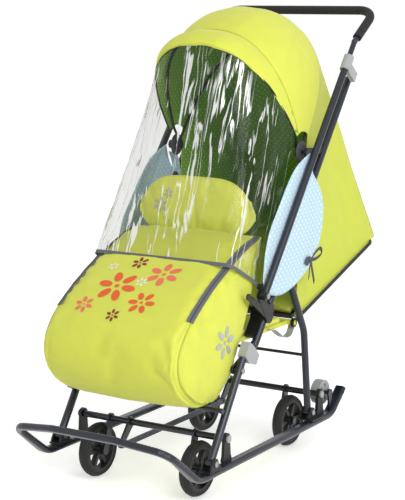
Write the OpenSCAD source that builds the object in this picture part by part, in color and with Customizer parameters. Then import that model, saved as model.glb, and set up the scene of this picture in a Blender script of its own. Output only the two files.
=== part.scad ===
// Sled stroller: a folding pushchair on two runners with four wheels that swing up.
// X runs across (right is +), Y runs to the rear, Z is up; the floor is z = 0 with the wheels down.

/* [Runners] */
// Distance from the middle to each runner's centre line
runner_x = 216; // [200:1:240]
// Width of a runner
runner_w = 30; // [24:1:40]
// Thickness of a runner
runner_t = 16; // [12:1:20]
// Height of the runners' soles above the floor
sole_z = 74; // [70:1:90]
// Where the nose starts to rise, from the middle
nose_start = 390; // [360:1:420]
// Length of the rising nose
nose_len = 178; // [165:1:190]
// Slope of the nose in degrees
nose_rise = 38.5; // [35:0.5:42]
// Where the tail starts to rise, from the middle
tail_start = 262; // [250:1:290]
// Length of the rising tail
tail_len = 88; // [70:1:110]
// Slope of the tail in degrees
tail_rise = 40; // [30:1:50]
// Bend radius of the runners
runner_bend = 60; // [40:1:80]

/* [Wheels and lift] */
// Wheel diameter
wheel_d = 135; // [125:1:138]
// Wheel width
wheel_w = 27; // [22:1:32]
// Distance from the middle to each front wheel
front_wheel_x = 145; // [135:1:155]
// Distance from the middle to each rear wheel
rear_wheel_x = 130; // [120:1:145]
// Front axle bar, distance ahead of the middle
front_axle_y = 248; // [235:1:260]
// Rear axle bar, distance behind the middle
rear_axle_y = 222; // [210:1:232]
// Forward lean of the wheel arms, past the dead point
arm_lean = 25; // [15:1:30]
// Height of the axle bars above the wheel centres
arm_drop = 76.5; // [70:0.5:80]
// Axle bar diameter
axle_d = 16; // [14:1:18]
// Wheel stub diameter
stub_d = 10; // [8:1:12]
// Roller diameter
roller_d = 64; // [50:1:66]

/* [Frame tubes] */
// Diameter of the legs and side tubes
tube_d = 19; // [17:0.5:20]
// Distance from the middle to each side tube
side_x = 202; // [198:1:204]
// Slope of the side tubes and of the handle
frame_slope = 52; // [50:0.5:54]
// Side tube, how far behind the middle it is at seat-back height
side_y = 96; // [90:1:104]
// Length of a side tube above its reference point
side_up = 450; // [430:1:460]
// Length of a side tube below its reference point
side_down = 332; // [325:1:338]
// Front foot pivot, ahead of the middle
front_foot_y = 331; // [326:1:336]
// Height of the foot pivots
foot_z = 108; // [106:1:112]
// Slope of the lower legs
leg_slope = 56.3; // [55:0.1:57.5]
// Length of a lower leg above its foot pivot
leg_len = 296; // [285:1:305]
// Distance from the knee pivot to the top of the lower leg
knee_down = 65; // [60:1:70]
// Rear foot pivot, behind the middle
rear_foot_y = 170; // [164:1:176]
// Rear leg bend, behind the middle
rear_bend_y = 144; // [138:1:150]
// Rear leg bend height
rear_bend_z = 328; // [315:1:340]

/* [Handle] */
// Handle pivot, ahead of the middle
handle_y = 102; // [98:1:106]
// Handle pivot height
handle_z = 463; // [458:1:468]
// Length of the handle arms
arm_len = 692; // [680:1:700]
// Length of the bow between the arms and its bend
bow_out = 53; // [48:1:63]
// Angle by which the bow bends back
kink_a = 19; // [15:1:23]
// Length of the bow from its bend to the top of the grip
grip_reach = 143; // [138:1:150]
// Handle arm diameter
arm_d = 18; // [16:0.5:19]
// Handle bow diameter
bow_d = 14; // [12:0.5:15]
// Grip diameter
grip_d = 23; // [20:0.5:25]
// Length of grip down each side
grip_side = 126; // [115:1:128]
// Bend radius at the grip corners
grip_bend = 46; // [40:1:52]
// Length of bow held inside each arm
bow_hidden = 170; // [150:1:190]

/* [Seat] */
// Width of the seat boards
seat_w = 340; // [320:1:350]
// Height of the underside of the seat board
seat_z = 346; // [344:1:348]
// Front edge of the seat, ahead of the middle
seat_front = 154; // [152:1:156]
// Backrest hinge, behind the middle
recline_y = 118; // [114:1:122]
// Backrest hinge height
recline_z = 352; // [350:1:354]
// Slope of the lowered backrest
recline_slope = 18; // [16:0.5:20]
// Length of the backrest
back_len = 488; // [475:1:495]
// Thickness of the boards
board_t = 10; // [8:1:12]
// Thickness of the pads
pad_t = 24; // [18:1:28]

/* [Hood and covers] */
// Hood pivot, behind the middle
hood_y = 150; // [146:1:154]
// Hood pivot height
hood_z = 782; // [776:1:788]
// Half width of the hood
hood_w = 188; // [182:1:189]
// Reach of the brim's front edge from the pivot
brim_front_r = 338; // [330:1:345]
// Reach of the brim where it is widest
brim_crest_r = 352; // [347:1:356]
// Reach of the seam between brim and hood
seam_r = 330; // [325:1:336]
// Reach of the hood's main part
dome_r = 362; // [355:1:368]
// Slope of the brim's front edge
brim_front_a = 127.5; // [124:0.5:130]
// Slope of the seam between brim and hood
brim_seam_a = 113; // [110:0.5:116]
// Slope of the rear hoop
rear_hoop_a = 54; // [52:0.5:58]
// Thickness of the fabric panels
cloth_t = 3; // [2:0.5:4]
// Thickness of the clear film
film_t = 1.6; // [1.2:0.2:2.4]
// Half width of the muff
muff_w = 186; // [178:1:188]
// Diameter of the hood hoops
hoop_d = 7; // [5:0.5:7]

/* [Clearances] */
// Radial running clearance of pins
run_gap = 0.05; // [0.02:0.01:0.1]
// Gap between parts that sit against each other
seat_gap = 0.3; // [0.2:0.05:0.5]
// Sideways gap between parts that pass each other
side_gap = 0.9; // [0.6:0.1:1.2]

/* [Hidden] */
$fn = 48;

// Colours
steel_c = "#2b3040";
black_c = "#1c1d22";
grey_c = "#a9aaad";
lime_c = "#d9e24a";
lime_dark_c = "#c3d02f";
blue_c = "#a9d0ea";
film_c = [0.9, 0.95, 1, 0.35];

// Tubes and runners
tube_r = tube_d / 2;
runner_top = sole_z + runner_t;
runner_mid = sole_z + runner_t / 2;
front_leg_x = runner_x;
pin_r = 4;
pin_head_r = 7;
pin_head_t = 3;
ear_t = 4.5;
base_t = 4;
foot_reach = 26;
ear_r = 13;

// Wheels
wheel_r = wheel_d / 2;
axle_r = axle_d / 2;
axle_z = wheel_r + arm_drop;
stub_r = stub_d / 2;
journal_r = 6;
support_t = 8;
support_x = runner_x - runner_w / 2 + 3;
axle_half = support_x - side_gap;
cap_r = 9;
cap_t = 4.5;
arm_t = 6;
arm_boss_r = 13;
hub_r = wheel_r - 14;
hub_w = wheel_w + 4;
spoke_count = 6;
lever_x = -60;
lever_t = 6;
lever_len = 64;
lever_ahead = 24;
link_t = 4;
link_w = 16;
roller_w = 24;
roller_y = 266;
roller_z = 138;
roller_plate_t = 5;
roller_out = runner_x - runner_w / 2 - 2;
roller_eye_r = stub_r + 6;
roller_hole_d = 11;
roller_hole_deep = 8;

// Frame lines in the side view, as [y, z]
frame_dir = [cos(frame_slope), sin(frame_slope)];
frame_nrm = [sin(frame_slope), -cos(frame_slope)];
side_ref_z = 600;
side_ref = [side_y, side_ref_z];
leg_dir = [cos(leg_slope), sin(leg_slope)];
leg_nrm = [sin(leg_slope), -cos(leg_slope)];
front_foot = [-front_foot_y, foot_z];
rear_foot = [rear_foot_y, foot_z];
knee = front_foot + (leg_len - knee_down) * leg_dir;
side_foot = side_ref - side_down * frame_dir;
side_top = side_ref + side_up * frame_dir;
rear_hinge_off = 25;
rear_hinge_down = 108;
rear_hinge = side_ref - rear_hinge_down * frame_dir + rear_hinge_off * frame_nrm;
rear_bend = [rear_bend_y, rear_bend_z];
rear_bend_r = 70;
tongue_t = 8;

// Handle
arm_r = arm_d / 2;
bow_r = bow_d / 2;
wing_x = side_x + tube_r + side_gap;
wing_t = 3.4;
handle_x = wing_x + wing_t + side_gap + arm_r;
handle_pivot = [-handle_y, handle_z];
kink_reach = arm_len + bow_out;
collar_len = 42;
collar_r = arm_r + 4;

// Seat and back
back_dir = [cos(recline_slope), sin(recline_slope)];
recline = [recline_y, recline_z];
rod_r = 4.5;
rod_x = side_x - tube_r - 1.5 - rod_r;
barrel_r = 7;
eye_r = 11;
eye_t = 8;

// Hood
hood_pivot = [hood_y, hood_z];
hoop_r = hoop_d / 2;
hood_inner_r = 26;
hood_power = 2.45;
hood_eye_r = 11;
hoop_eye_t = 5;
hoop_side_gap = 1.3;
hoop_top_gap = 3.3;
hoop_inset = cloth_t + hoop_r + hoop_top_gap;
hood_plate_t = 6;
tent_x = rod_x - rod_r - 1.2;
tent_over = 12;
tent_from = 18;
tent_rear = recline + (back_len + tent_over) * back_dir;
tent_front = recline + tent_from * back_dir;
tent_drop = 5.4;

// Covers
muff_back_top = [-52, 584];
muff_back_low = [-196, 276];
band_side = [-88, 480];
band_front = [-213, 546];
band_w = 199;
band_turn = 0.16;

// Shift that puts the middle of the whole length at y = 0
nose_bow = 30;
nose_thin = 0.58;
nose_section = [for (p = oval_section(runner_w, runner_t)) [p[1], -p[0]]];
nose_half = max([for (p = nose_section) nose_thin * p[1] * cos(nose_rise) + p[0] * sin(nose_rise)]);
front_reach = nose_start + nose_len * cos(nose_rise) + nose_half;
rear_reach = tent_rear[0];
mid_shift = (front_reach - rear_reach) / 2;

// Helpers

module placed() {
    translate([0, mid_shift, 0]) children();
}

// Mirrors what is built on the right to the left when s is -1
module on_side(s) {
    if (s > 0) children();
    else mirror([1, 0, 0]) children();
}

// Local x, y, z become Y, Z, X at the given distance across
module side(x) {
    translate([x, 0, 0]) rotate([90, 0, 90]) children();
}

// A plane through a point of the side view: local x is X, local y runs along the slope
module slope_plane(point, slope) {
    translate([0, point[0], point[1]]) rotate([slope, 0, 0]) children();
}

function heading(p, q) = atan2(q[1] - p[1], q[0] - p[0]);
function wrap(a) = a > 180 ? a - 360 : a < -180 ? a + 360 : a;
function turn_at(pts, i) = wrap(heading(pts[i], pts[i + 1]) - heading(pts[i - 1], pts[i]));
function cut_at(pts, i, bend) =
    i == 0 || i == len(pts) - 1 ? 0 : bend * tan(abs(turn_at(pts, i)) / 2);

// A bar with the section given as a child, along points in the local XY plane, with round bends
module bent(pts, bend) {
    last = len(pts) - 1;
    for (i = [0:last - 1]) {
        start = cut_at(pts, i, bend);
        run = norm(pts[i + 1] - pts[i]) - start - cut_at(pts, i + 1, bend);
        translate([pts[i][0], pts[i][1], 0])
            rotate(heading(pts[i], pts[i + 1]))
                translate([start, 0, 0])
                    rotate([0, 90, 0]) linear_extrude(run) children();
    }
    for (i = [1:1:last - 1]) {
        turn = turn_at(pts, i);
        from = heading(pts[i - 1], pts[i]);
        hand = turn > 0 ? 1 : -1;
        enter = pts[i] - cut_at(pts, i, bend) * [cos(from), sin(from)];
        centre = enter + bend * hand * [-sin(from), cos(from)];
        translate([centre[0], centre[1], 0])
            rotate(hand > 0 ? from - 90 : from + 90 + turn)
                rotate_extrude(angle = abs(turn)) translate([bend, 0]) rotate(90) children();
    }
}

// Points and headings along a path with round bends, n steps to each bend
function bend_run(pts, bend, n) = [
    [pts[0], heading(pts[0], pts[1])],
    for (i = [1:1:len(pts) - 2])
        let (
            turn = turn_at(pts, i), hand = sign(turn), from = heading(pts[i - 1], pts[i]),
            enter = pts[i] - cut_at(pts, i, bend) * [cos(from), sin(from)],
            centre = enter + bend * hand * [-sin(from), cos(from)]
        )
            for (k = [0:n])
                let (h = from + turn * k / n) [centre + bend * hand * [sin(h), -cos(h)], h],
    [pts[len(pts) - 1], heading(pts[len(pts) - 2], pts[len(pts) - 1])]
];

// A bar swept along points in the local XY plane; the section's x lies across that plane
// and thin is the share of the section's height that is left between the two ends
module swept(section, pts, bend, n = 5, thin = 1) {
    run = bend_run(pts, bend, n);
    m = len(section);
    last = len(run) - 1;
    points = [for (i = [0:last]) each [for (p = section)
        let (r = run[i], h = p[1] * (i == 0 || i == last ? 1 : thin))
            [r[0][0] - h * sin(r[1]), r[0][1] + h * cos(r[1]), p[0]]]];
    polyhedron(
        points = points,
        faces = concat(
            [[for (k = [m - 1:-1:0]) k]],
            [for (i = [0:last - 1]) for (k = [0:m - 1])
                let (a = i * m + k, b = i * m + (k + 1) % m)
                    each [[a, b, a + m], [b, b + m, a + m]]],
            [[for (k = [0:m - 1]) last * m + k]]
        )
    );
}

function ring_section(r, m = 20) = [for (k = [0:m - 1]) r * [cos(k * 360 / m), sin(k * 360 / m)]];
function oval_section(w, t, m = 6) = [
    for (k = [0:m]) [(w - t) / 2 + t / 2 * sin(k * 180 / m), -t / 2 * cos(k * 180 / m)],
    for (k = [0:m]) [-(w - t) / 2 - t / 2 * sin(k * 180 / m), t / 2 * cos(k * 180 / m)]
];

// Flat oval section, the long way along local x
module oval(w, t) {
    square([w - t, t], center = true);
    for (s = [-1, 1]) translate([s * (w - t) / 2, 0]) circle(d = t);
}

// A flat link with round ends between two points of the side view, a little narrower between them
module strap(p, q, r1, r2, x0, x1) {
    len_pq = norm(q - p);
    web = 0.86;
    side(x0) translate([p[0], p[1], 0]) rotate(heading(p, q)) linear_extrude(x1 - x0) {
        circle(r = r1);
        translate([len_pq, 0]) circle(r = r2);
        polygon([[0, -web * r1], [len_pq, -web * r2], [len_pq, web * r2], [0, web * r1]]);
    }
}

// A round pin across, centred on a point of the side view
module cross_pin(p, r, x0, x1) {
    side(x0) translate([p[0], p[1], 0]) cylinder(r = r, h = x1 - x0);
}

// A round bar between two points of the side view
module side_bar(p, q, r, x) {
    side(x) translate([p[0], p[1], 0]) rotate(heading(p, q)) rotate([0, 90, 0])
        cylinder(r = r, h = norm(q - p));
}

// Thick sheets

function mix(a, b, f) = a + (b - a) * f;
function sheet_normal(g, i, j) =
    let (
        along = g[min(i + 1, len(g) - 1)][j] - g[max(i - 1, 0)][j],
        over = g[i][min(j + 1, len(g[0]) - 1)] - g[i][max(j - 1, 0)],
        n = cross(along, over)
    ) n / norm(n);

// A sheet of thickness t under a grid of points
module sheet(g, t) {
    rows = len(g);
    cols = len(g[0]);
    top = [for (i = [0:rows - 1]) for (j = [0:cols - 1]) g[i][j]];
    under = [for (i = [0:rows - 1]) for (j = [0:cols - 1]) g[i][j] - t * sheet_normal(g, i, j)];
    n = rows * cols;
    faces = [
        for (i = [0:rows - 2]) for (j = [0:cols - 2])
            let (a = i * cols + j, b = a + cols, c = b + 1, d = a + 1)
                each [[a, d, c], [a, c, b], [a + n, b + n, c + n], [a + n, c + n, d + n]],
        for (i = [0:rows - 2])
            let (a = i * cols, b = a + cols, d = a + cols - 1, c = d + cols)
                each [[a, b, b + n], [a, b + n, a + n], [c, d, d + n], [c, d + n, c + n]],
        for (j = [0:cols - 2])
            let (a = j, d = j + 1, b = (rows - 1) * cols + j, c = b + 1)
                each [[d, a, a + n], [d, a + n, d + n], [b, c, c + n], [b, c + n, b + n]]
    ];
    polyhedron(points = concat(top, under), faces = faces);
}

function spow(v, e) = sign(v) * pow(abs(v), e);

// A point on a hood arch: slope a, reach r, t from 0 (right) to 180 (left)
function arch(a, r, t, w = hood_w) =
    let (reach = hood_inner_r + (r - hood_inner_r) * pow(sin(t), 2 / hood_power))
        [w * spow(cos(t), 2 / hood_power), hood_y + reach * cos(a), hood_z + reach * sin(a)];

// A smooth curve through points, with n steps for each span
function curve_point(p, i, f) =
    let (
        a = p[max(i - 1, 0)], b = p[i], c = p[i + 1], d = p[min(i + 2, len(p) - 1)]
    ) b + 0.5 * f * (c - a + f * (2 * a - 5 * b + 4 * c - d + f * (3 * b - a - 3 * c + d)));
function curve(p, n) = [
    for (i = [0:len(p) - 2]) for (k = [0:n - 1]) curve_point(p, i, k / n),
    p[len(p) - 1]
];

// A round tube through a list of points that lie in one plane with the given normal
module tube_along(pts, r, normal, sides = 8) {
    last = len(pts) - 1;
    rings = [for (i = [0:last])
        let (
            way = pts[min(i + 1, last)] - pts[max(i - 1, 0)],
            out = cross(way / norm(way), normal)
        ) each [for (k = [0:sides - 1])
            let (a = k * 360 / sides) pts[i] + r * (cos(a) * normal + sin(a) * out)]];
    polyhedron(
        points = rings,
        faces = concat(
            [[for (k = [0:sides - 1]) k]],
            [for (i = [0:last - 1]) for (k = [0:sides - 1])
                let (a = i * sides + k, b = i * sides + (k + 1) % sides)
                    each [[a, a + sides, b], [b, a + sides, b + sides]]],
            [[for (k = [sides - 1:-1:0]) last * sides + k]]
        )
    );
}

// Runners and what stands on them

nose_dir = [-cos(nose_rise), sin(nose_rise)];
tail_dir = [cos(tail_rise), sin(tail_rise)];
nose_foot = [-nose_start, runner_mid];
nose_cut = runner_bend * tan(nose_rise / 2);
nose_tail = 2;
nose_bend = 45;
tail_foot = [tail_start, runner_mid];
tail_end = tail_foot + tail_len * tail_dir;
nose_end = nose_foot + (nose_cut + nose_tail) * nose_dir;

module runner(s) {
    roller_mid = [roller_y, roller_z];
    plate_x = runner_x - roller_plate_t / 2;
    color(steel_c) on_side(s) placed() difference() {
        union() {
            side(runner_x)
                swept(oval_section(runner_w, runner_t),
                    [nose_end, nose_foot, tail_foot, tail_end], runner_bend);
            strap([roller_y, runner_mid], roller_mid, runner_t / 2 - 2, roller_eye_r,
                plate_x, plate_x + roller_plate_t);
            cross_pin(roller_mid, stub_r, roller_out - roller_w - 2, plate_x + 1);
        }
        cross_pin(tail_end - runner_t * tail_dir, pin_r, runner_x - runner_w, runner_x + runner_w);
    }
}

module nose_bar() {
    base = nose_end + seat_gap * nose_dir;
    run = nose_len - nose_cut - nose_tail - seat_gap;
    flat = 0.4 * runner_x;
    color(steel_c) placed() slope_plane(base, 180 - nose_rise) mirror([0, 0, 1])
        swept(nose_section, [
            [-runner_x, 0], [-runner_x, run - nose_bow], [-flat, run],
            [flat, run], [runner_x, run - nose_bow], [runner_x, 0]
        ], nose_bend, thin = nose_thin);
}

// A saddle of two ears on a base plate; the leg's plane is at x
module foot(p, x, x0, x1) {
    ear_gap = tube_r + 0.6;
    translate([x0, p[0] - foot_reach, runner_top]) cube([x1 - x0, 2 * foot_reach, base_t]);
    for (inner = [x - ear_gap - ear_t, x + ear_gap])
        difference() {
            strap([p[0], runner_top + base_t], p, foot_reach - 6, ear_r, inner, inner + ear_t);
            translate([inner - 1, p[0] - 2 * foot_reach, runner_top + base_t - 3 * foot_reach])
                cube([ear_t + 2, 4 * foot_reach, 3 * foot_reach]);
            cross_pin(p, pin_r + run_gap, inner - 1, inner + ear_t + 1);
        }
}

module front_feet() {
    color(black_c) placed() for (s = [-1, 1]) on_side(s)
        foot(front_foot, front_leg_x, runner_x - runner_w / 2, runner_x + runner_w / 2);
}

module rear_feet() {
    color(black_c) placed() for (s = [-1, 1]) on_side(s)
        foot(rear_foot, side_x, side_x - tube_r - ear_t - 1, runner_x + runner_w / 2);
}

module foot_pin(p, x) {
    ear_out = tube_r + 0.6 + ear_t + seat_gap;
    cross_pin(p, pin_r, x - ear_out, x + ear_out);
    cross_pin(p, pin_head_r, x + ear_out, x + ear_out + pin_head_t);
    cross_pin(p, pin_head_r, x - ear_out - pin_head_t, x - ear_out);
}

module foot_pins() {
    color(grey_c) placed() for (s = [-1, 1]) on_side(s) {
        foot_pin(front_foot, front_leg_x);
        foot_pin(rear_foot, side_x);
    }
}

// Plates that stand on the runners and carry an axle bar
module axle_supports(y) {
    for (s = [-1, 1]) on_side(s) difference() {
        strap([y, runner_top + 2], [y, axle_z], 19, 14, support_x, support_x + support_t);
        translate([support_x - 1, y - 30, runner_top - 60]) cube([support_t + 2, 60, 60]);
        cross_pin([y, axle_z], journal_r + run_gap, support_x - 1, support_x + support_t + 1);
    }
}

module front_axle_supports() {
    color(black_c) placed() axle_supports(-front_axle_y);
}

module rear_axle_supports() {
    color(black_c) placed() axle_supports(rear_axle_y);
}

// Rollers, wheels and axles

module roller(s) {
    x0 = roller_out - roller_w;
    color(grey_c) on_side(s) placed() side(x0) translate([roller_y, roller_z, 0]) difference() {
        cylinder(d = roller_d, h = roller_w);
        translate([0, 0, -1]) cylinder(r = stub_r + run_gap, h = roller_w + 2);
        for (k = [0:4]) rotate(k * 72) translate([roller_d / 4 + 2, 0, roller_w - roller_hole_deep])
            cylinder(d = roller_hole_d, h = roller_hole_deep + 1);
    }
}

lever_a = atan2(arm_drop, arm_lean) - lever_ahead;
lever_arm = -lever_len * [cos(lever_a), sin(lever_a)];

// A bar with journals, wheel arms, stubs and the lift lever; w is the wheel's distance across
module axle(y, w) {
    bar = [y, axle_z];
    tip = [y - arm_lean, wheel_r];
    lever_tip = bar + lever_arm;
    inner = w - hub_w / 2 - side_gap - arm_t - 2;
    outer = w + hub_w / 2 + side_gap;
    side(-axle_half) translate([y, axle_z, 0]) cylinder(r = axle_r, h = 2 * axle_half);
    side(-support_x - support_t - 1) translate([y, axle_z, 0])
        cylinder(r = journal_r, h = 2 * (support_x + support_t + 1));
    for (s = [-1, 1]) on_side(s) {
        strap(bar, tip, arm_boss_r, 11, inner, inner + arm_t);
        cross_pin(tip, stub_r, inner + 2, outer + 2);
        cross_pin(tip, stub_r + 4, inner + 3, inner + arm_t + 2);
        cross_pin(tip, stub_r + 4, outer, outer + 3);
    }
    strap(bar, lever_tip, arm_boss_r, 9, lever_x - lever_t, lever_x);
    cross_pin(lever_tip, pin_r, lever_x - 2, lever_x + link_t + 2);
}

module front_axle() {
    color(steel_c) placed() axle(-front_axle_y, front_wheel_x);
}

module rear_axle() {
    color(steel_c) placed() axle(rear_axle_y, rear_wheel_x);
}

// Grey end caps on the journals of an axle bar
module end_caps(y) {
    from = support_x + support_t + 1;
    for (s = [-1, 1]) on_side(s) cross_pin([y, axle_z], cap_r, from, from + cap_t);
}

module axle_caps() {
    color(grey_c) placed() end_caps(-front_axle_y);
}

module rear_axle_caps() {
    color(grey_c) placed() end_caps(rear_axle_y);
}

module lift_link() {
    front = [-front_axle_y, axle_z] + lever_arm;
    rear = [rear_axle_y, axle_z] + lever_arm;
    x0 = lever_x + side_gap / 2;
    color(steel_c) placed() difference() {
        strap(front, rear, link_w / 2, link_w / 2, x0, x0 + link_t);
        for (p = [front, rear]) cross_pin(p, pin_r + run_gap, x0 - 1, x0 + link_t + 1);
    }
}

// Turns a wheel drawn round Z onto its place
module at_wheel(s, y, w) {
    on_side(s) placed() side(w) translate([y - arm_lean, wheel_r, 0]) children();
}

module tyre(s, y, w) {
    crown = 6;
    color(black_c) at_wheel(s, y, w) rotate_extrude()
        polygon([
            [hub_r + run_gap, -wheel_w / 2 + 2], [wheel_r - crown, -wheel_w / 2],
            [wheel_r - 2, -wheel_w / 2 + crown], [wheel_r, 0], [wheel_r - 2, wheel_w / 2 - crown],
            [wheel_r - crown, wheel_w / 2], [hub_r + run_gap, wheel_w / 2 - 2]
        ]);
}

module hub(s, y, w) {
    boss_r = stub_r + 7;
    rim_t = 6;
    spoke_w = 9;
    color(grey_c) at_wheel(s, y, w) difference() {
        union() {
            rotate_extrude() translate([hub_r - rim_t, -wheel_w / 2 + 2]) square([rim_t, wheel_w - 4]);
            translate([0, 0, -hub_w / 2]) cylinder(r = boss_r, h = hub_w);
            for (k = [0:spoke_count - 1]) rotate(k * 360 / spoke_count)
                translate([boss_r - 2, -spoke_w / 2, -wheel_w / 4])
                    cube([hub_r - boss_r - rim_t / 2, spoke_w, wheel_w / 2]);
        }
        translate([0, 0, -hub_w]) cylinder(r = stub_r + run_gap, h = 2 * hub_w);
    }
}

// Lower legs

module front_leg(s) {
    color(steel_c) on_side(s) placed() difference() {
        union() {
            side_bar(front_foot, front_foot + leg_len * leg_dir, tube_r, front_leg_x);
            cross_pin(front_foot, tube_r + 1.5, front_leg_x - tube_r + 1.5, front_leg_x + tube_r - 1.5);
        }
        for (p = [front_foot, knee]) cross_pin(p, pin_r + run_gap, front_leg_x - 20, front_leg_x + 20);
    }
}

clip_len = 40;
clip_half_w = 15;

// Grey latch at the top of a lower leg, reaching to the side tube
module leg_clip(s) {
    top = front_foot + leg_len * leg_dir;
    mid = top - clip_len / 2 * leg_dir;
    reach = (side_foot - mid) * leg_nrm - tube_r - side_gap;
    color(grey_c) on_side(s) placed() difference() {
        side(front_leg_x - tube_r + side_gap) translate([mid[0], mid[1], 0]) rotate(leg_slope)
            linear_extrude(2 * clip_half_w - 8) polygon([
                [-clip_len / 2 + 8, tube_r + 4], [-clip_len / 2, -tube_r - 4], [-clip_len / 2 + 10, -reach],
                [clip_len / 2 - 4, -reach], [clip_len / 2 + 4, -tube_r], [clip_len / 2 + 4, tube_r + 4]
            ]);
        side_bar(front_foot, top + 0.01 * leg_dir, tube_r + run_gap, front_leg_x);
    }
}

leg_cross_at = 120;
leg_cross_off = 26;
leg_cross_r = 6;
lug_t = 6;
lug_r = 7;

// Cross tube in front of the lower legs, on two lugs
module leg_cross() {
    seat_at = front_foot + leg_cross_at * leg_dir;
    p = seat_at - leg_cross_off * leg_nrm;
    color(steel_c) placed() difference() {
        union() {
            cross_pin(p, leg_cross_r, -front_leg_x - lug_t, front_leg_x + lug_t);
            for (s = [-1, 1]) on_side(s) strap(p, seat_at, leg_cross_r - 1, lug_r,
                front_leg_x - lug_t / 2, front_leg_x + lug_t / 2);
        }
        for (s = [-1, 1]) on_side(s)
            side_bar(front_foot, front_foot + leg_len * leg_dir, tube_r + run_gap, front_leg_x);
    }
}

plate_in = front_leg_x - tube_r - side_gap;
knee_plate_t = 7;

module knee_pins() {
    color(grey_c) placed() for (s = [-1, 1]) on_side(s) {
        out = front_leg_x + tube_r + seat_gap;
        low = plate_in - knee_plate_t - seat_gap;
        cross_pin(knee, pin_r, low, out);
        cross_pin(knee, pin_head_r, out, out + pin_head_t);
        cross_pin(knee, pin_head_r, low - pin_head_t, low);
    }
}

// Rear legs

module rear_leg(s) {
    up = (rear_hinge - rear_bend) / norm(rear_hinge - rear_bend);
    tip = rear_hinge - 12 * up;
    color(steel_c) on_side(s) placed() difference() {
        union() {
            side(side_x) swept(ring_section(tube_r - 0.5), [rear_foot, rear_bend, tip], rear_bend_r);
            cross_pin(rear_foot, tube_r + 1, side_x - tube_r + 2, side_x + tube_r - 2);
            strap(tip - 14 * up, rear_hinge, 6, 8, side_x - tongue_t / 2, side_x + tongue_t / 2);
        }
        cross_pin(rear_foot, pin_r + run_gap, side_x - 20, side_x + 20);
        cross_pin([rear_rod_y, rear_rod_z], rear_rod_r + run_gap, side_x - 20, side_x);
    }
}

rear_rod_r = 4;
rear_rod_z = 262;
rear_rod_y = mix(rear_foot_y, rear_bend_y, (rear_rod_z - foot_z) / (rear_bend_z - foot_z));

module rear_cross_rod() {
    color(black_c) placed() side(-side_x + 0.5) translate([rear_rod_y, rear_rod_z, 0])
        cylinder(r = rear_rod_r, h = 2 * side_x - 1);
}

// Side tubes with the plates welded to them

module side_tube(s) {
    ear_in = side_x - tube_r;
    ear_gap = tongue_t / 2 + 0.6;
    hinge_seat = side_ref - rear_hinge_down * frame_dir;
    plate_seat = side_foot + 14 * frame_dir;
    color(steel_c) on_side(s) placed() difference() {
        union() {
            side_bar(side_foot, side_top, tube_r, side_x);
            for (x0 = [ear_in, side_x + ear_gap])
                strap(hinge_seat, rear_hinge, 14, 10, x0, x0 + tube_r - ear_gap);
            strap(knee, plate_seat, 11, 10, plate_in - knee_plate_t, plate_in);
        }
        cross_pin(knee, pin_r + run_gap, plate_in - knee_plate_t - 1, plate_in + 1);
    }
}

bracket_r = 13;
fork_reach = [-55, 5];
fork_r = 8;
knob_r = 9;
bracket_down = 250;
bracket_up = 20;
seat_drop = 52;
bracket_at = side_ref - bracket_down * frame_dir;

// Moulded bracket on a side tube: seat carrier, handle pivot and bumper socket
module seat_bracket(s) {
    x_out = handle_x - arm_r - side_gap;
    fork_tip = handle_pivot + fork_reach;
    color(black_c) on_side(s) placed() difference() {
        union() {
            strap(bracket_at, handle_pivot, bracket_r + 4, bracket_r, wing_x - 1, x_out);
            strap(bracket_at, bracket_at + bracket_up * frame_dir, bracket_r + 3, bracket_r + 3,
                seat_w / 2 + seat_gap, wing_x);
            strap(bracket_at - seat_drop * frame_dir, bracket_at, bracket_r - 3, bracket_r,
                seat_w / 2 + seat_gap + 0.2, side_x);
            strap(bracket_at, fork_tip, bracket_r, fork_r, wing_x - 0.4, x_out - 0.6);
            strap(handle_pivot, band_side, bracket_r - 1.5, knob_r, wing_x - 0.7, x_out - 1.2);
            cross_pin(band_side, knob_r - 2, band_w + side_gap, wing_x);
        }
        side_bar(side_foot, side_top, tube_r + run_gap, side_x);
        cross_pin(handle_pivot, pin_r + run_gap, wing_x - 5, x_out + 5);
    }
}

module handle_pins() {
    color(grey_c) placed() for (s = [-1, 1]) on_side(s) {
        out = handle_x + arm_r + seat_gap;
        low = wing_x - 1 - seat_gap;
        cross_pin(handle_pivot, pin_r, low, out);
        cross_pin(handle_pivot, pin_head_r, out, out + pin_head_t);
        cross_pin(handle_pivot, pin_head_r, low - pin_head_t, low);
    }
}

hood_plate_up = 218;

// Plates from the side tubes to the hood's pivot, with a fixed pin
module hood_brackets() {
    seat_at = side_ref + hood_plate_up * frame_dir - (tube_r + 6) * frame_nrm;
    x0 = side_x - hood_plate_t / 2;
    color(black_c) placed() for (s = [-1, 1]) on_side(s) {
        difference() {
            strap(seat_at, hood_pivot, 10, 11, x0, x0 + hood_plate_t);
            side_bar(side_foot, side_top, tube_r + run_gap, side_x);
        }
        cross_pin(hood_pivot, pin_r, front_eye_x - 2, x0 + 1);
    }
}

// Seat and back

// Leg rest: runs down from the seat's front edge, just behind the open back of the muff
rest_dir = (muff_back_top - muff_back_low) / norm(muff_back_top - muff_back_low);
rest_nrm = [rest_dir[1], -rest_dir[0]];
rest_low = muff_back_low + seat_gap * rest_nrm;
rest_top = rest_low + (seat_z + board_t - 1 - rest_low[1]) / rest_dir[1] * rest_dir;

module seat_base() {
    back_edge = recline_y - barrel_r + 3;
    color(black_c) placed() {
        translate([-seat_w / 2, -seat_front, seat_z]) cube([seat_w, seat_front + back_edge, board_t]);
        cross_pin(recline, barrel_r, -rod_x - eye_t / 2, rod_x + eye_t / 2);
        side(-seat_w / 2 + 1) linear_extrude(seat_w - 2) polygon([
            rest_low, rest_top, rest_top + board_t * rest_nrm, rest_low + board_t * rest_nrm
        ]);
    }
}

// Height of a pad's edge as a share of its middle
pad_edge = 0.55;

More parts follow.
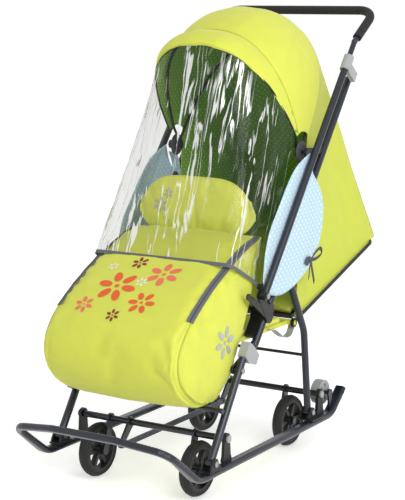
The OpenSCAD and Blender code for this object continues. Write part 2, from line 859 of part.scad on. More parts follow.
// A crowned pad on a board: length along local y, top along local z
function pad_grid(w, l, t, n) = [
    for (i = [0:n]) [for (j = [0:n])
        let (
            u = 2 * i / n - 1, v = 2 * j / n - 1,
            draw = 1 - 0.04 * (1 - u * u) * abs(v) - 0.02 * (1 - v * v) * abs(u),
            crown = (1 - pow(abs(u), 3)) * (1 - pow(abs(v), 3))
        ) [w / 2 * u * draw, l / 2 * v * draw, t * mix(pad_edge, 1, crown)]]
];

// Closes a crowned grid down to a flat base at z = 0
module pad(w, l, t, n = 10) {
    g = pad_grid(w, l, t, n);
    m = n + 1;
    top = [for (i = [0:n]) for (j = [0:n]) g[i][j]];
    base = [for (p = top) [p[0], p[1], 0]];
    k = m * m;
    faces = [
        for (i = [0:n - 1]) for (j = [0:n - 1])
            let (a = i * m + j, b = a + m, c = b + 1, d = a + 1)
                each [[a, d, c], [a, c, b], [a + k, b + k, c + k], [a + k, c + k, d + k]],
        for (i = [0:n - 1])
            let (a = i * m, b = a + m, d = a + n, c = d + m)
                each [[a, b, b + k], [a, b + k, a + k], [c, d, d + k], [c, d + k, c + k]],
        for (j = [0:n - 1])
            let (a = j, d = j + 1, b = n * m + j, c = b + 1)
                each [[d, a, a + k], [d, a + k, d + k], [b, c, c + k], [b, c + k, b + k]]
    ];
    polyhedron(points = concat(top, base), faces = faces);
}

module seat_pad() {
    l = seat_front + recline_y - barrel_r - 30;
    color(lime_dark_c) placed()
        translate([0, -seat_front + l / 2, seat_z + board_t + seat_gap]) pad(seat_w - 6, l, pad_t);
}

// Local y runs up the lowered back, local z stands out of its front
module on_back() {
    slope_plane(recline, recline_slope) children();
}

module backrest_frame() {
    corner = back_len - rod_r;
    color(black_c) placed() on_back() difference() {
        union() {
            bent([[-rod_x, 0], [-rod_x, corner], [rod_x, corner], [rod_x, 0]], 30) circle(r = rod_r);
            for (s = [-1, 1]) translate([s * rod_x, 0, 0]) rotate([0, 90, 0])
                cylinder(r = eye_r, h = eye_t, center = true);
        }
        rotate([0, 90, 0]) cylinder(r = barrel_r + run_gap, h = 2 * (rod_x + eye_t), center = true);
    }
}

board_from = 24;
board_cut = 16;
board_side = 14;
board_half = rod_x - rod_r - board_side;
pad_inset = 8;

module backrest_board() {
    l = back_len - 2 * rod_r - seat_gap - board_from;
    w = board_half;
    color(black_c) placed() on_back() translate([0, board_from, -board_t / 2]) linear_extrude(board_t)
        polygon([
            [-w, 0], [w, 0], [w, l - board_cut], [w - board_cut, l], [board_cut - w, l], [-w, l - board_cut]
        ]);
}

module backrest_pad() {
    l = back_len - 2 * rod_r - board_from - 2 * pad_inset;
    color(lime_c) placed() on_back()
        translate([0, board_from + pad_inset + l / 2, board_t / 2 + seat_gap])
            pad(2 * (board_half - pad_inset), l, pad_t);
}

// Hood

arch_steps = 16;
end_t = 2.5;
function arch_t(j, n) = mix(end_t, 180 - end_t, j / n);

// Steps of a hoop's arm: share of the way from the pivot, share of the way from the eye to the cloth
arm_steps = [[0.08, 0], [0.45, 0], [0.6, 0.35], [0.8, 0.8]];

// A hoop with an arm at each end that runs to an eye on the pivot pin, which starts at eye_x
module hoop(a, r, eye_x) {
    w = hood_w - cloth_t - hoop_r - hoop_side_gap;
    eye_mid = eye_x + hoop_eye_t / 2;
    bow = [for (j = [0:2 * arch_steps]) arch(a, r, arch_t(j, 2 * arch_steps), w)];
    start = norm([bow[0][1], bow[0][2]] - hood_pivot);
    arm = [for (f = arm_steps)
        let (p = hood_pivot + f[0] * start * [cos(a), sin(a)]) [mix(eye_mid, w, f[1]), p[0], p[1]]];
    back_arm = [for (i = [len(arm) - 1:-1:0]) [-arm[i][0], arm[i][1], arm[i][2]]];
    difference() {
        union() {
            tube_along(concat(arm, bow, back_arm), hoop_r, [0, -sin(a), cos(a)]);
            for (s = [-1, 1]) on_side(s) cross_pin(hood_pivot, hood_eye_r, eye_x, eye_x + hoop_eye_t);
        }
        for (s = [-1, 1]) on_side(s)
            cross_pin(hood_pivot, pin_r + run_gap, eye_x - hoop_r, eye_x + hoop_eye_t + hoop_r);
    }
}

front_eye_x = hood_w - cloth_t - 2 * hoop_eye_t - 2 * side_gap - 2;
rear_eye_x = front_eye_x + hoop_eye_t + 2 * side_gap;

module front_hoop() {
    color(black_c) placed() hoop(brim_seam_a + 2, seam_r - hoop_inset, front_eye_x);
}

module rear_hoop() {
    color(black_c) placed() hoop(rear_hoop_a, dome_r - hoop_inset, rear_eye_x);
}

brim_rows = 5;
module hood_brim() {
    g = [for (i = [0:brim_rows]) [for (j = [0:arch_steps])
        let (
            f = i / brim_rows,
            a = mix(brim_front_a, brim_seam_a + 0.1, f),
            r = mix(brim_front_r, seam_r, f) + (brim_crest_r - brim_front_r) * sin(180 * pow(f, 0.5))
        ) arch(a, r, arch_t(j, arch_steps))]];
    color(lime_c) placed() sheet(g, cloth_t);
}

dome_rows = 8;
dome_full = 0.72;

// Reach of the hood from the seam (f = 0) to the rear hoop (f = 1)
function dome_reach(f) = mix(seam_r, dome_r, sin(90 * min(1, f / dome_full)));

module hood_dome() {
    g = [for (i = [0:dome_rows]) [for (j = [0:arch_steps])
        let (f = i / dome_rows)
            arch(mix(brim_seam_a - 0.1, rear_hoop_a + 0.1, f), dome_reach(f), arch_t(j, arch_steps))]];
    color(lime_c) placed() sheet(g, cloth_t);
}

tent_rows = 6;
tent_cols = 24;
tent_corner = 0.26;
tent_seam = 1.6;

// The lower edge of the hood's rear part, from the right side round the back to the left
function tent_low(f) =
    let (g = f > 0.5 ? 1 - f : f, s = f > 0.5 ? -1 : 1)
        g < tent_corner
            ? let (p = mix(tent_front, tent_rear, g / tent_corner)) [s * tent_x, p[0], p[1] + tent_drop]
            : [s * tent_x * (0.5 - g) / (0.5 - tent_corner), tent_rear[0], tent_rear[1] + tent_drop];

module hood_tent() {
    seam = tent_seam * [0, sin(rear_hoop_a), -cos(rear_hoop_a)];
    g = [for (i = [0:tent_rows]) [for (j = [0:tent_cols])
        mix(arch(rear_hoop_a, dome_r, arch_t(j, tent_cols)) + seam, tent_low(j / tent_cols), i / tent_rows)]];
    color(lime_c) placed() sheet(g, cloth_t);
}

// Side wing, seen from the side
wing_points = [
    [142, 782], [60, 745], [-18, 660], [-64, 600], [-88, 520], [-84, 462],
    [0, 446], [98, 470], [180, 528], [214, 614], [202, 682], [160, 732], [142, 782]
];

module wing(s) {
    edge = curve(wing_points, 4);
    color(blue_c) on_side(s) placed() side(wing_x) linear_extrude(wing_t) difference() {
        polygon([for (i = [0:len(edge) - 2]) edge[i]]);
        translate(bracket_at) circle(r = bracket_r + 8);
        translate(handle_pivot) circle(r = bracket_r + 3);
        translate(band_side) circle(r = knob_r + 4);
        translate(handle_pivot) rotate(heading(handle_pivot, band_side))
            translate([0, -bracket_r - 3]) square([norm(band_side - handle_pivot), 2 * bracket_r + 6]);
        translate(bracket_at) rotate(heading(bracket_at, handle_pivot))
            translate([0, -bracket_r - 8]) square([norm(handle_pivot - bracket_at), 2 * bracket_r + 16]);
    }
}

// Muff, flap and film

muff_points = [
    muff_back_top, [-150, 560], [-270, 508], [-376, 440], [-432, 372], [-424, 306], [-350, 246], [-262, 236],
    muff_back_low
];
muff_span = 3;
muff_puff = 26;
muff_puff_end = 0.19;
muff_ends = [[1, 0], [0.996, 0.5], [0.985, 0.88], [0.95, 0.975], [0.84, 1], [0.5, 1.02], [0, 1.03]];

module muff() {
    outline = curve(muff_points, muff_span);
    last = len(outline) - 1;
    rows = concat(muff_ends, [for (k = [len(muff_ends) - 2:-1:0]) [-muff_ends[k][0], muff_ends[k][1]]]);
    g = [for (e = rows) [for (k = [0:last])
        let (
            chord = mix(muff_back_top, muff_back_low, k / last),
            p = mix(chord, outline[k], e[1]),
            puff = muff_puff * (1 - pow(e[0], 4)) * sin(180 * min(1, k / last / muff_puff_end))
        ) [e[0] * muff_w, p[0], p[1] + puff]]];
    color(lime_c) placed() sheet(g, cloth_t);
}

flap_w = 166;
flap_low = muff_back_top + [9, seat_gap + 0.8];
flap_top = [-38, 727];
flap_corner = [596, 646];
flap_bow = 5;
flap_rows = 8;
flap_cols = 16;

// The flap stands on the muff's back edge; it is highest in the middle and narrows to both corners
module muff_flap() {
    g = [for (i = [0:flap_rows]) [for (j = [0:flap_cols])
        let (
            u = 2 * j / flap_cols - 1,
            z = mix(mix(flap_low[1], flap_corner[0], pow(abs(u), 2.2)),
                mix(flap_top[1], flap_corner[1], pow(abs(u), 4.5)), i / flap_rows),
            lean = (z - flap_low[1]) / (flap_top[1] - flap_low[1])
        ) [flap_w * u, mix(flap_low[0], flap_top[0], lean) - flap_bow * (1 - u * u), z]]];
    color(lime_dark_c) placed() sheet(g, 2 * cloth_t);
}

film_rows = 8;
film_cols = 20;

// The lower edge of the film: f runs from the right knob over the muff to the left one
function band_point(f) =
    let (g = min(f, 1 - f), s = f > 0.5 ? -1 : 1)
        g < band_turn
            ? concat([s * band_w], mix(band_side, band_front, g / band_turn))
            : concat([s * band_w * (0.5 - g) / (0.5 - band_turn)], band_front);

module rain_film() {
    g = [for (i = [0:film_rows]) [for (j = [0:film_cols])
        mix(arch(brim_front_a + 0.2, brim_front_r, arch_t(j, film_cols)),
            band_point(j / film_cols), i / film_rows)]];
    color(film_c) placed() sheet([for (i = [film_rows:-1:0]) g[i]], film_t);
}

// Handle: local y runs up the handle from its pivot

module on_handle() {
    slope_plane(handle_pivot, frame_slope) children();
}

module handle_arm(s) {
    color(steel_c) on_side(s) placed() on_handle() difference() {
        union() {
            translate([handle_x, 0, 0]) rotate([-90, 0, 0]) cylinder(r = arm_r, h = arm_len);
            translate([handle_x, 0, 0]) rotate([0, 90, 0])
                cylinder(r = arm_r + 2, h = 2 * arm_r - 3, center = true);
        }
        translate([handle_x, arm_len - bow_hidden - 6, 0]) rotate([-90, 0, 0])
            cylinder(r = bow_r + run_gap, h = bow_hidden + 10);
        translate([handle_x - 30, 0, 0]) rotate([0, 90, 0]) cylinder(r = pin_r + run_gap, h = 60);
    }
}

// Grey collars that clamp the bow and hook behind the side tubes
module handle_collars() {
    hook_back = 58;
    hook_w = 12;
    collar_at = arm_len - collar_len + 6;
    color(grey_c) placed() on_handle() for (s = [-1, 1]) on_side(s) difference() {
        union() {
            translate([handle_x, collar_at, 0]) rotate([-90, 0, 0]) cylinder(r = collar_r, h = collar_len);
            translate([handle_x - hook_w / 2, collar_at + 4, -hook_back])
                cube([hook_w, collar_len - 16, hook_back]);
        }
        translate([handle_x, collar_at - collar_len, 0]) rotate([-90, 0, 0])
            cylinder(r = arm_r + run_gap, h = arm_len - collar_at + collar_len);
        translate([handle_x, arm_len - 20, 0]) rotate([-90, 0, 0]) cylinder(r = bow_r + run_gap, h = 80);
    }
}

// Local y runs up the part of the bow above its bend
module on_bow() {
    on_handle() translate([0, kink_reach, 0]) rotate([-kink_a, 0, 0]) children();
}

module bow_path(from, reach) {
    bent([[-handle_x, from], [-handle_x, reach], [handle_x, reach], [handle_x, from]], grip_bend) children();
}

module handle_bow() {
    color(steel_c) placed() {
        on_handle() for (s = [-1, 1]) {
            translate([s * handle_x, arm_len - bow_hidden, 0]) rotate([-90, 0, 0])
                cylinder(r = bow_r, h = kink_reach - arm_len + bow_hidden);
            translate([s * handle_x, kink_reach, 0]) sphere(r = bow_r + 1);
        }
        on_bow() bow_path(0, grip_reach) circle(r = bow_r);
    }
}

module grip() {
    color(black_c) placed() on_bow()
        bow_path(grip_reach - grip_side, grip_reach) difference() {
            circle(d = grip_d);
            circle(r = bow_r + run_gap);
        }
}

runner(-1);  // runner_left
runner(1);  // runner_right
nose_bar();
front_feet();
rear_feet();
front_axle_supports();
rear_axle_supports();
foot_pins();
roller(-1);  // roller_left
roller(1);  // roller_right
front_axle();
rear_axle();
axle_caps();
rear_axle_caps();
lift_link();
tyre(-1, -front_axle_y, front_wheel_x);  // tyre_front_left
tyre(1, -front_axle_y, front_wheel_x);  // tyre_front_right
tyre(-1, rear_axle_y, rear_wheel_x);  // tyre_rear_left
tyre(1, rear_axle_y, rear_wheel_x);  // tyre_rear_right
hub(-1, -front_axle_y, front_wheel_x);  // hub_front_left
hub(1, -front_axle_y, front_wheel_x);  // hub_front_right
hub(-1, rear_axle_y, rear_wheel_x);  // hub_rear_left
hub(1, rear_axle_y, rear_wheel_x);  // hub_rear_right
front_leg(-1);  // front_leg_left
front_leg(1);  // front_leg_right
leg_clip(-1);  // leg_clip_left
leg_clip(1);  // leg_clip_right
leg_cross();
knee_pins();
rear_leg(-1);  // rear_leg_left
rear_leg(1);  // rear_leg_right
rear_cross_rod();
side_tube(-1);  // side_tube_left
side_tube(1);  // side_tube_right
seat_bracket(-1);  // seat_bracket_left
seat_bracket(1);  // seat_bracket_right
hood_brackets();
seat_base();
seat_pad();
rear_hoop();
hood_dome();
hood_tent();
wing(-1);  // wing_left
wing(1);  // wing_right
muff();
muff_flap();
rain_film();
handle_pins();
backrest_frame();
backrest_board();
backrest_pad();
front_hoop();
hood_brim();
handle_arm(-1);  // handle_arm_left
handle_arm(1);  // handle_arm_right
handle_collars();
handle_bow();
grip();
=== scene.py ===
import math
import bpy
import numpy as np
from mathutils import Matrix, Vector, noise


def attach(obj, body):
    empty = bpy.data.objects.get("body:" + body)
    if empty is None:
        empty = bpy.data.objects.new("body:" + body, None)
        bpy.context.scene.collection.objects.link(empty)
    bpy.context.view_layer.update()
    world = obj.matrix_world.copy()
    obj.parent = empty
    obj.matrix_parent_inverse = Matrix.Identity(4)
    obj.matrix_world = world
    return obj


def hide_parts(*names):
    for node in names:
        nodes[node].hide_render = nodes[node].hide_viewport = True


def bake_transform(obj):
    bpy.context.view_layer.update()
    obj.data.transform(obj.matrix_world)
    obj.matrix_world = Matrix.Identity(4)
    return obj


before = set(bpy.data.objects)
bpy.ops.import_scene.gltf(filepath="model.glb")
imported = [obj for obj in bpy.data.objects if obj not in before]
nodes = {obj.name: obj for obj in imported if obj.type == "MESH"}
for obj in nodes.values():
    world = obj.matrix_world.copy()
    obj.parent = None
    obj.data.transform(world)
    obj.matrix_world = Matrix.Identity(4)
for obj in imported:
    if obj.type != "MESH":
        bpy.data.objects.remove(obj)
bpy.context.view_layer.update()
shift = -0.027459  # y from the middle between the wheels to the middle of the whole length, metres
bothSides = ((1, "right"), (-1, "left"))
print("stage: frame loaded")


# materials; all lengths in metres
def linear(hexCode):
    parts = [int(hexCode[i:i + 2], 16) / 255 for i in (1, 3, 5)]
    return tuple(c / 12.92 if c <= 0.04045 else ((c + 0.055) / 1.055) ** 2.4 for c in parts) + (1.0,)


def addNode(tree, kind, links=(), **values):
    # in_3=0.5 sets input 3; a link's source is a socket, or a node for its first output
    made = tree.nodes.new(kind)
    for key, value in values.items():
        if key.startswith("in_"):
            made.inputs[int(key[3:])].default_value = value
        else:
            setattr(made, key, value)
    for index, source in links:
        tree.links.new(getattr(source, "outputs", [source])[0], made.inputs[index])
    return made


cloudSize = 0.035  # light and dark clouds in a dyed, woven or moulded surface


def newMaterial(name, colour, rough=0.6, metal=0.0, sheen=0.0, coat=0.0, bumps=(), mottle=0.0):
    made = bpy.data.materials.new(name)
    made.use_nodes = True
    tree = made.node_tree
    shader = tree.nodes["Principled BSDF"]
    shader.inputs["Base Color"].default_value = linear(colour)
    shader.inputs["Roughness"].default_value = rough
    shader.inputs["Metallic"].default_value = metal
    shader.inputs["Sheen Weight"].default_value = sheen
    shader.inputs["Coat Weight"].default_value = coat
    made.diffuse_color = linear(colour)
    where = addNode(tree, "ShaderNodeTexCoord").outputs["Object"]
    if mottle:
        cloud = addNode(tree, "ShaderNodeTexNoise", [(0, where)], in_2=1.0 / cloudSize, in_3=3.0)
        mix = addNode(tree, "ShaderNodeMix", [(0, cloud)], data_type="RGBA")
        for index, share in ((6, 1 - mottle), (7, 1 + mottle)):
            mix.inputs[index].default_value = tuple(min(1.0, c * share) for c in linear(colour)[:3]) + (1.0,)
        tree.links.new(mix.outputs[2], shader.inputs["Base Color"])
    last = None
    for size, height, detail in bumps:  # grain size, bump height, noise detail
        grain = addNode(tree, "ShaderNodeTexNoise", [(0, where)], in_2=1.0 / size, in_3=detail)
        bump = addNode(tree, "ShaderNodeBump", [(3, grain)], in_0=1.0, in_1=height)
        if last is not None:
            tree.links.new(last, bump.inputs["Normal"])
        last = bump.outputs[0]
    if last is not None:
        tree.links.new(last, shader.inputs["Normal"])
    return made


# threads 0.8 mm apart, drawn coarser than the real cloth so that they show
weave = {"pitch": 0.0008, "height": 0.00012, "strength": 0.5}


def addWeave(made):
    tree = made.node_tree
    shader = tree.nodes["Principled BSDF"]
    uv = addNode(tree, "ShaderNodeTexCoord").outputs["UV"]
    perMetre = 1.0 / (weave["pitch"] * 3.18)  # a wave of scale 1 repeats 3.18 times in a metre
    threads = [addNode(tree, "ShaderNodeTexWave", [(0, uv)], bands_direction=way, in_1=perMetre)
               for way in ("X", "Y")]
    crossed = addNode(tree, "ShaderNodeMath", [(k, wave.outputs[1]) for k, wave in enumerate(threads)],
                      operation="MULTIPLY")
    bump = addNode(tree, "ShaderNodeBump", [(3, crossed)], in_0=weave["strength"], in_1=weave["height"])
    old = shader.inputs["Normal"].links
    if old:
        tree.links.new(old[0].from_socket, bump.inputs["Normal"])
    tree.links.new(bump.outputs[0], shader.inputs["Normal"])


# pitch and radius of the printed dots, matched and large enough to show
dots = {"lining": (0.017, 0.0021), "blue": (0.019, 0.0033), "slope": 0.8, "sideLimit": 0.62}


def addDots(made, base, dot, pitch, radius):
    # on the sides the dots are laid out in y and z, on the back in x and down the slope
    tree = made.node_tree
    coords = addNode(tree, "ShaderNodeTexCoord")
    x, y, z = addNode(tree, "ShaderNodeSeparateXYZ", [(0, coords.outputs["Object"])]).outputs
    onSide = addNode(tree, "ShaderNodeCombineXYZ", [(0, y), (1, z)])
    fall = addNode(tree, "ShaderNodeMath", [(0, z), (1, y)], operation="SUBTRACT")
    evened = addNode(tree, "ShaderNodeMath", [(0, fall)], operation="MULTIPLY", in_1=dots["slope"])
    onBack = addNode(tree, "ShaderNodeCombineXYZ", [(0, x), (1, evened)])
    facing = addNode(tree, "ShaderNodeSeparateXYZ", [(0, coords.outputs["Normal"])])
    sideways = addNode(tree, "ShaderNodeMath", [(0, facing)], operation="ABSOLUTE")
    isSide = addNode(tree, "ShaderNodeMath", [(0, sideways)], operation="GREATER_THAN",
                     in_1=dots["sideLimit"])
    either = addNode(tree, "ShaderNodeMix", [(0, isSide), (4, onBack), (5, onSide)], data_type="VECTOR")
    spot = either.outputs[1]
    lengths = []
    for offset in (0.0, 0.5):  # two square grids half a step apart
        scaled = addNode(tree, "ShaderNodeVectorMath", [(0, spot)], operation="MULTIPLY_ADD",
                         in_1=(1 / pitch, 1 / pitch, 0), in_2=(offset, offset, 0))
        cell = addNode(tree, "ShaderNodeVectorMath", [(0, scaled)], operation="FRACTION")
        centred = addNode(tree, "ShaderNodeVectorMath", [(0, cell)], operation="SUBTRACT", in_1=(0.5, 0.5, 0))
        away = addNode(tree, "ShaderNodeVectorMath", [(0, centred)], operation="LENGTH")
        lengths.append(away.outputs["Value"])
    nearest = addNode(tree, "ShaderNodeMath", [(0, lengths[0]), (1, lengths[1])], operation="MINIMUM")
    inside = addNode(tree, "ShaderNodeMath", [(0, nearest)], operation="LESS_THAN", in_1=radius / pitch)
    mix = addNode(tree, "ShaderNodeMix", data_type="RGBA")
    mix.inputs[6].default_value = linear(base)
    mix.inputs[7].default_value = linear(dot)
    tree.links.new(inside.outputs[0], mix.inputs[0])
    tree.links.new(mix.outputs[2], tree.nodes["Principled BSDF"].inputs["Base Color"])


# patterns: streaks per metre across and along, bend, seed; 38 across puts the folds 26 mm apart
# paintedGlint is the white of the painted glints; whiteShare is the least share of that white, an even haze
# over the whole film
vinyl = {"folds": (38.0, 3.2, 0.7, 2.0), "groups": (9.0, 3.0, 0.6, 5.0), "patches": (42.0, 5.5, 0.8, 9.0),
         "linesEdge": (0.024, 0.008), "groupsEdge": (0.44, 0.53), "patchesEdge": (0.625, 0.652),
         "glint": 0.9, "whiteShare": 0.010, "clear": "#F1F1F0", "paintedGlint": "#FAFAFA", "through": 0.4,
         "shine": 0.55, "shineRough": 0.3, "rough": 0.08, "foldHeight": 0.004,
         "rimPower": 4.0, "rimGain": 0.5, "rimLeast": 0.012}


def filmMaterial():
    # calendered clear vinyl: the eye sees what lies behind it; where it is creased, painted glints of white
    # diffuse and translucent colour lie in streaks beside a real gloss
    made = bpy.data.materials.new("clear_vinyl")
    made.use_nodes = True
    tree = made.node_tree
    tree.nodes.remove(tree.nodes["Principled BSDF"])
    where = addNode(tree, "ShaderNodeTexCoord").outputs["UV"]
    pattern, cut = {}, {}
    for key in ("folds", "groups", "patches"):
        across, along, bend, seed = vinyl[key]
        spot = addNode(tree, "ShaderNodeMapping", [(0, where)])
        spot.inputs["Scale"].default_value = (across, along, 1.0)
        spot.inputs["Location"].default_value = (seed, seed * 0.7, seed * 1.3)
        pattern[key] = addNode(tree, "ShaderNodeTexNoise", [(0, spot)], in_2=1.0, in_3=3.0, in_8=bend)
    offMiddle = addNode(tree, "ShaderNodeMath", [(0, pattern["folds"])], operation="SUBTRACT", in_1=0.5)
    pattern["lines"] = addNode(tree, "ShaderNodeMath", [(0, offMiddle)], operation="ABSOLUTE")
    for key in ("lines", "groups", "patches"):
        low, high = vinyl[key + "Edge"]
        cut[key] = addNode(tree, "ShaderNodeMapRange", [(0, pattern[key])], in_1=low, in_2=high,
                           interpolation_type="SMOOTHSTEP")
    grouped = addNode(tree, "ShaderNodeMath", [(0, cut["lines"]), (1, cut["groups"])], operation="MULTIPLY")
    either = addNode(tree, "ShaderNodeMath", [(0, grouped), (1, cut["patches"])], operation="MAXIMUM")
    glint = addNode(tree, "ShaderNodeMath", [(0, either)], operation="MULTIPLY", in_1=vinyl["glint"])
    # painted glints in the streaks, over an even haze everywhere else
    whiteShare = addNode(tree, "ShaderNodeMath", [(0, glint)], operation="MAXIMUM", in_1=vinyl["whiteShare"])
    clear = addNode(tree, "ShaderNodeBsdfTransparent", in_0=linear(vinyl["clear"]))
    white = addNode(tree, "ShaderNodeBsdfDiffuse", in_0=linear(vinyl["paintedGlint"]))
    through = addNode(tree, "ShaderNodeBsdfTranslucent", in_0=linear(vinyl["paintedGlint"]))
    paintedGlint = addNode(tree, "ShaderNodeMixShader", [(1, white), (2, through)], in_0=vinyl["through"])
    shine = addNode(tree, "ShaderNodeBsdfGlossy")  # the bright side of a fold
    shine.inputs["Roughness"].default_value = vinyl["shineRough"]
    fold = addNode(tree, "ShaderNodeMixShader", [(1, paintedGlint), (2, shine)], in_0=vinyl["shine"])
    body = addNode(tree, "ShaderNodeMixShader", [(0, whiteShare), (1, clear), (2, fold)])
    gloss = addNode(tree, "ShaderNodeBsdfGlossy")
    gloss.inputs["Roughness"].default_value = vinyl["rough"]
    bump = addNode(tree, "ShaderNodeBump", [(3, pattern["folds"])], in_0=1.0, in_1=vinyl["foldHeight"])
    tree.links.new(bump.outputs[0], gloss.inputs["Normal"])
    facing = addNode(tree, "ShaderNodeLayerWeight", in_0=0.5)
    edge = addNode(tree, "ShaderNodeMath", [(0, facing.outputs[1])], operation="POWER",
                   in_1=vinyl["rimPower"])
    rim = addNode(tree, "ShaderNodeMath", [(0, edge)], operation="MULTIPLY_ADD", in_1=vinyl["rimGain"],
                  in_2=vinyl["rimLeast"])
    mix = addNode(tree, "ShaderNodeMixShader", [(0, rim), (1, body), (2, gloss)])
    tree.links.new(mix.outputs[0], tree.nodes["Material Output"].inputs["Surface"])
    return made


# limeDeep is the lime darkened as painted shade for the rear of the hood
# limePale is the lime lightened as painted light for the flap, the pads and the muff's inside
colours = {"lime": "#DBE151", "limePale": "#E6EB62", "limeDeep": "#CED744", "limeSeam": "#BCC247",
           "lining": "#7DB233", "liningDot": "#BBD67F", "blue": "#BEDCEC", "blueDot": "#E2F0F9",
           "steel": "#1A1F2C", "black": "#101114", "grey": "#A6A8AA", "zinc": "#9A9DA2", "foam": "#1B1B1D",
           "rubber": "#111113", "tape": "#64676B", "tie": "#44474C", "silver": "#B4B7BA", "orange": "#E8632B",
           "coral": "#EE7A5C", "cream": "#F4EFD8", "plum": "#8A2F2A", "floor": "#FFFFFF"}
shellLook = {"sheen": 0.12, "bumps": ((0.05, 0.0012, 2.0),), "mottle": 0.05}
printLook = {"bumps": ((0.0016, 0.00015, 2.0),), "mottle": 0.1}  # the thread below, drawn coarse to show
ribbonLook = {"bumps": ((0.0016, 0.0002, 2.0),), "mottle": 0.15}  # ribs drawn coarse to show
looks = {
    # polyester woven and coated against rain: matt and even, with shallow puckers and a pale edge
    "lime": ("coated_polyester_lime", 0.62, shellLook),
    # the same lime cloth made lighter: painted light for the flap behind the film, the pads and the muff's
    # inside, which lie in shade
    "limePale": ("coated_polyester_lime_painted_light", 0.66, shellLook),
    # the same lime cloth made darker: painted shade for the rear of the hood, which faces away from the lamps
    "limeDeep": ("coated_polyester_lime_painted_shade", 0.64, shellLook),
    # polyester cord sewn in a seam: a darker thread-like line
    "limeSeam": ("polyester_piping", 0.6, printLook),
    # cotton with a screen-printed dot: dull, slightly rumpled
    "lining": ("printed_cotton_lining", 0.85, {"bumps": ((0.06, 0.002, 3.0),)}),
    "blue": ("printed_cotton_blue", 0.82, {"sheen": 0.1, "bumps": ((0.05, 0.002, 3.0),)}),
    # steel tube powder-coated in blue-black: half gloss with long soft highlights and a fine orange peel
    "steel": ("powder_coated_steel", 0.32, {"metal": 0.3, "coat": 0.25, "bumps": ((0.0012, 0.00004, 1.0),)}),
    # injection-moulded polypropylene: waxy, with the fine spark-eroded grain of the mould
    "black": ("moulded_polypropylene_black", 0.5, {"bumps": ((0.0008, 0.00004, 1.0),)}),
    "grey": ("moulded_polypropylene_grey", 0.45, {"bumps": ((0.0008, 0.00003, 1.0),)}),
    # turned steel plated with zinc: bright grey with a cloudy passivated tone
    "zinc": ("zinc_plated_steel", 0.35, {"metal": 0.9, "bumps": ((0.001, 0.00003, 1.0),), "mottle": 0.1}),
    # closed-cell foam sleeve: dull black with small pores
    "foam": ("closed_cell_foam", 0.8, {"bumps": ((0.0015, 0.0002, 3.0),), "mottle": 0.2}),
    # pressed solid rubber: dull, dusty black
    "rubber": ("solid_rubber", 0.7, {"bumps": ((0.002, 0.0002, 2.0),), "mottle": 0.25}),
    # narrow woven tape and ribbon: flat dark grey with fine ribs
    "tape": ("woven_polyester_tape", 0.75, ribbonLook),
    "tie": ("grosgrain_ribbon", 0.75, ribbonLook),
    # glass-bead reflective print: pale grey with a half-metal gleam
    "silver": ("reflective_print", 0.4, {"metal": 0.35, **printLook}),
    # screen-printed ink on cloth: flat colour that lets the thread show
    "orange": ("screen_print_orange", 0.6, printLook),
    "coral": ("screen_print_coral", 0.6, printLook),
    "cream": ("screen_print_cream", 0.6, printLook),
    "plum": ("screen_print_plum", 0.6, printLook),
}
paint = {key: newMaterial(name, colours[key], rough, **look) for key, (name, rough, look) in looks.items()}
paint["film"] = filmMaterial()
for key in ("lime", "limePale", "limeDeep", "lining", "blue", "tape"):
    addWeave(paint[key])
for key in ("lining", "blue"):
    addDots(paint[key], colours[key], colours[key + "Dot"], *dots[key])
print("stage: materials")

# the CAD nodes that keep their shape
finishes = {
    "steel": ["runner_left", "runner_right", "nose_bar", "front_axle", "rear_axle", "lift_link",
              "front_leg_left", "front_leg_right", "leg_cross", "rear_leg_left", "rear_leg_right",
              "side_tube_left", "side_tube_right", "handle_arm_left", "handle_arm_right", "handle_bow"],
    "black": ["front_feet", "rear_feet", "front_axle_supports", "rear_axle_supports", "rear_cross_rod",
              "backrest_frame", "seat_bracket_left", "seat_bracket_right", "hood_brackets", "backrest_board",
              "front_hoop", "rear_hoop", "hub_front_left", "hub_front_right", "hub_rear_left",
              "hub_rear_right"],
    "grey": ["roller_left", "roller_right", "axle_caps", "rear_axle_caps", "leg_clip_left", "leg_clip_right",
             "handle_collars"],
    "zinc": ["foot_pins", "knee_pins", "handle_pins"],
    "rubber": ["tyre_front_left", "tyre_front_right", "tyre_rear_left", "tyre_rear_right"],
    "foam": ["grip"],
    "lime": ["seat_base"],
}
for key, names in finishes.items():
    for name in names:
        nodes[name].data.materials.clear()
        nodes[name].data.materials.append(paint[key])


# building helpers
def finishPiece(obj, body, slot, *replaced):
    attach(obj, body)
    if replaced:
        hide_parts(*replaced)
    return obj


def newMesh(name, verts, faces, materials, uvs=None, marks=None):
    data = bpy.data.meshes.new(name)
    data.from_pydata([tuple(v) for v in verts], [], faces)
    for m in materials:
        data.materials.append(m)
    if marks is not None:
        data.polygons.foreach_set("material_index", marks)
    data.polygons.foreach_set("use_smooth", [True] * len(faces))
    if uvs is not None:
        layer = data.uv_layers.new(name="UVMap")
        loops = np.zeros(len(data.loops), int)
        data.loops.foreach_get("vertex_index", loops)
        layer.data.foreach_set("uv", np.asarray(uvs, float)[loops].ravel())
    data.update()
    obj = bpy.data.objects.new(name, data)
    bpy.context.scene.collection.objects.link(obj)
    return obj


def gridNormals(g):
    n = np.cross(np.gradient(g, axis=0), np.gradient(g, axis=1))
    return n / np.maximum(np.linalg.norm(n, axis=2, keepdims=True), 1e-12)


def gridUv(g):
    # lengths along the cloth in metres, u from the middle of each row
    u = np.zeros(g.shape[:2])
    v = np.zeros(g.shape[:2])
    u[:, 1:] = np.cumsum(np.linalg.norm(np.diff(g, axis=1), axis=2), axis=1)
    v[1:, :] = np.cumsum(np.linalg.norm(np.diff(g, axis=0), axis=2), axis=0)
    u -= u[:, -1:] / 2
    return np.stack([u, v], axis=2)


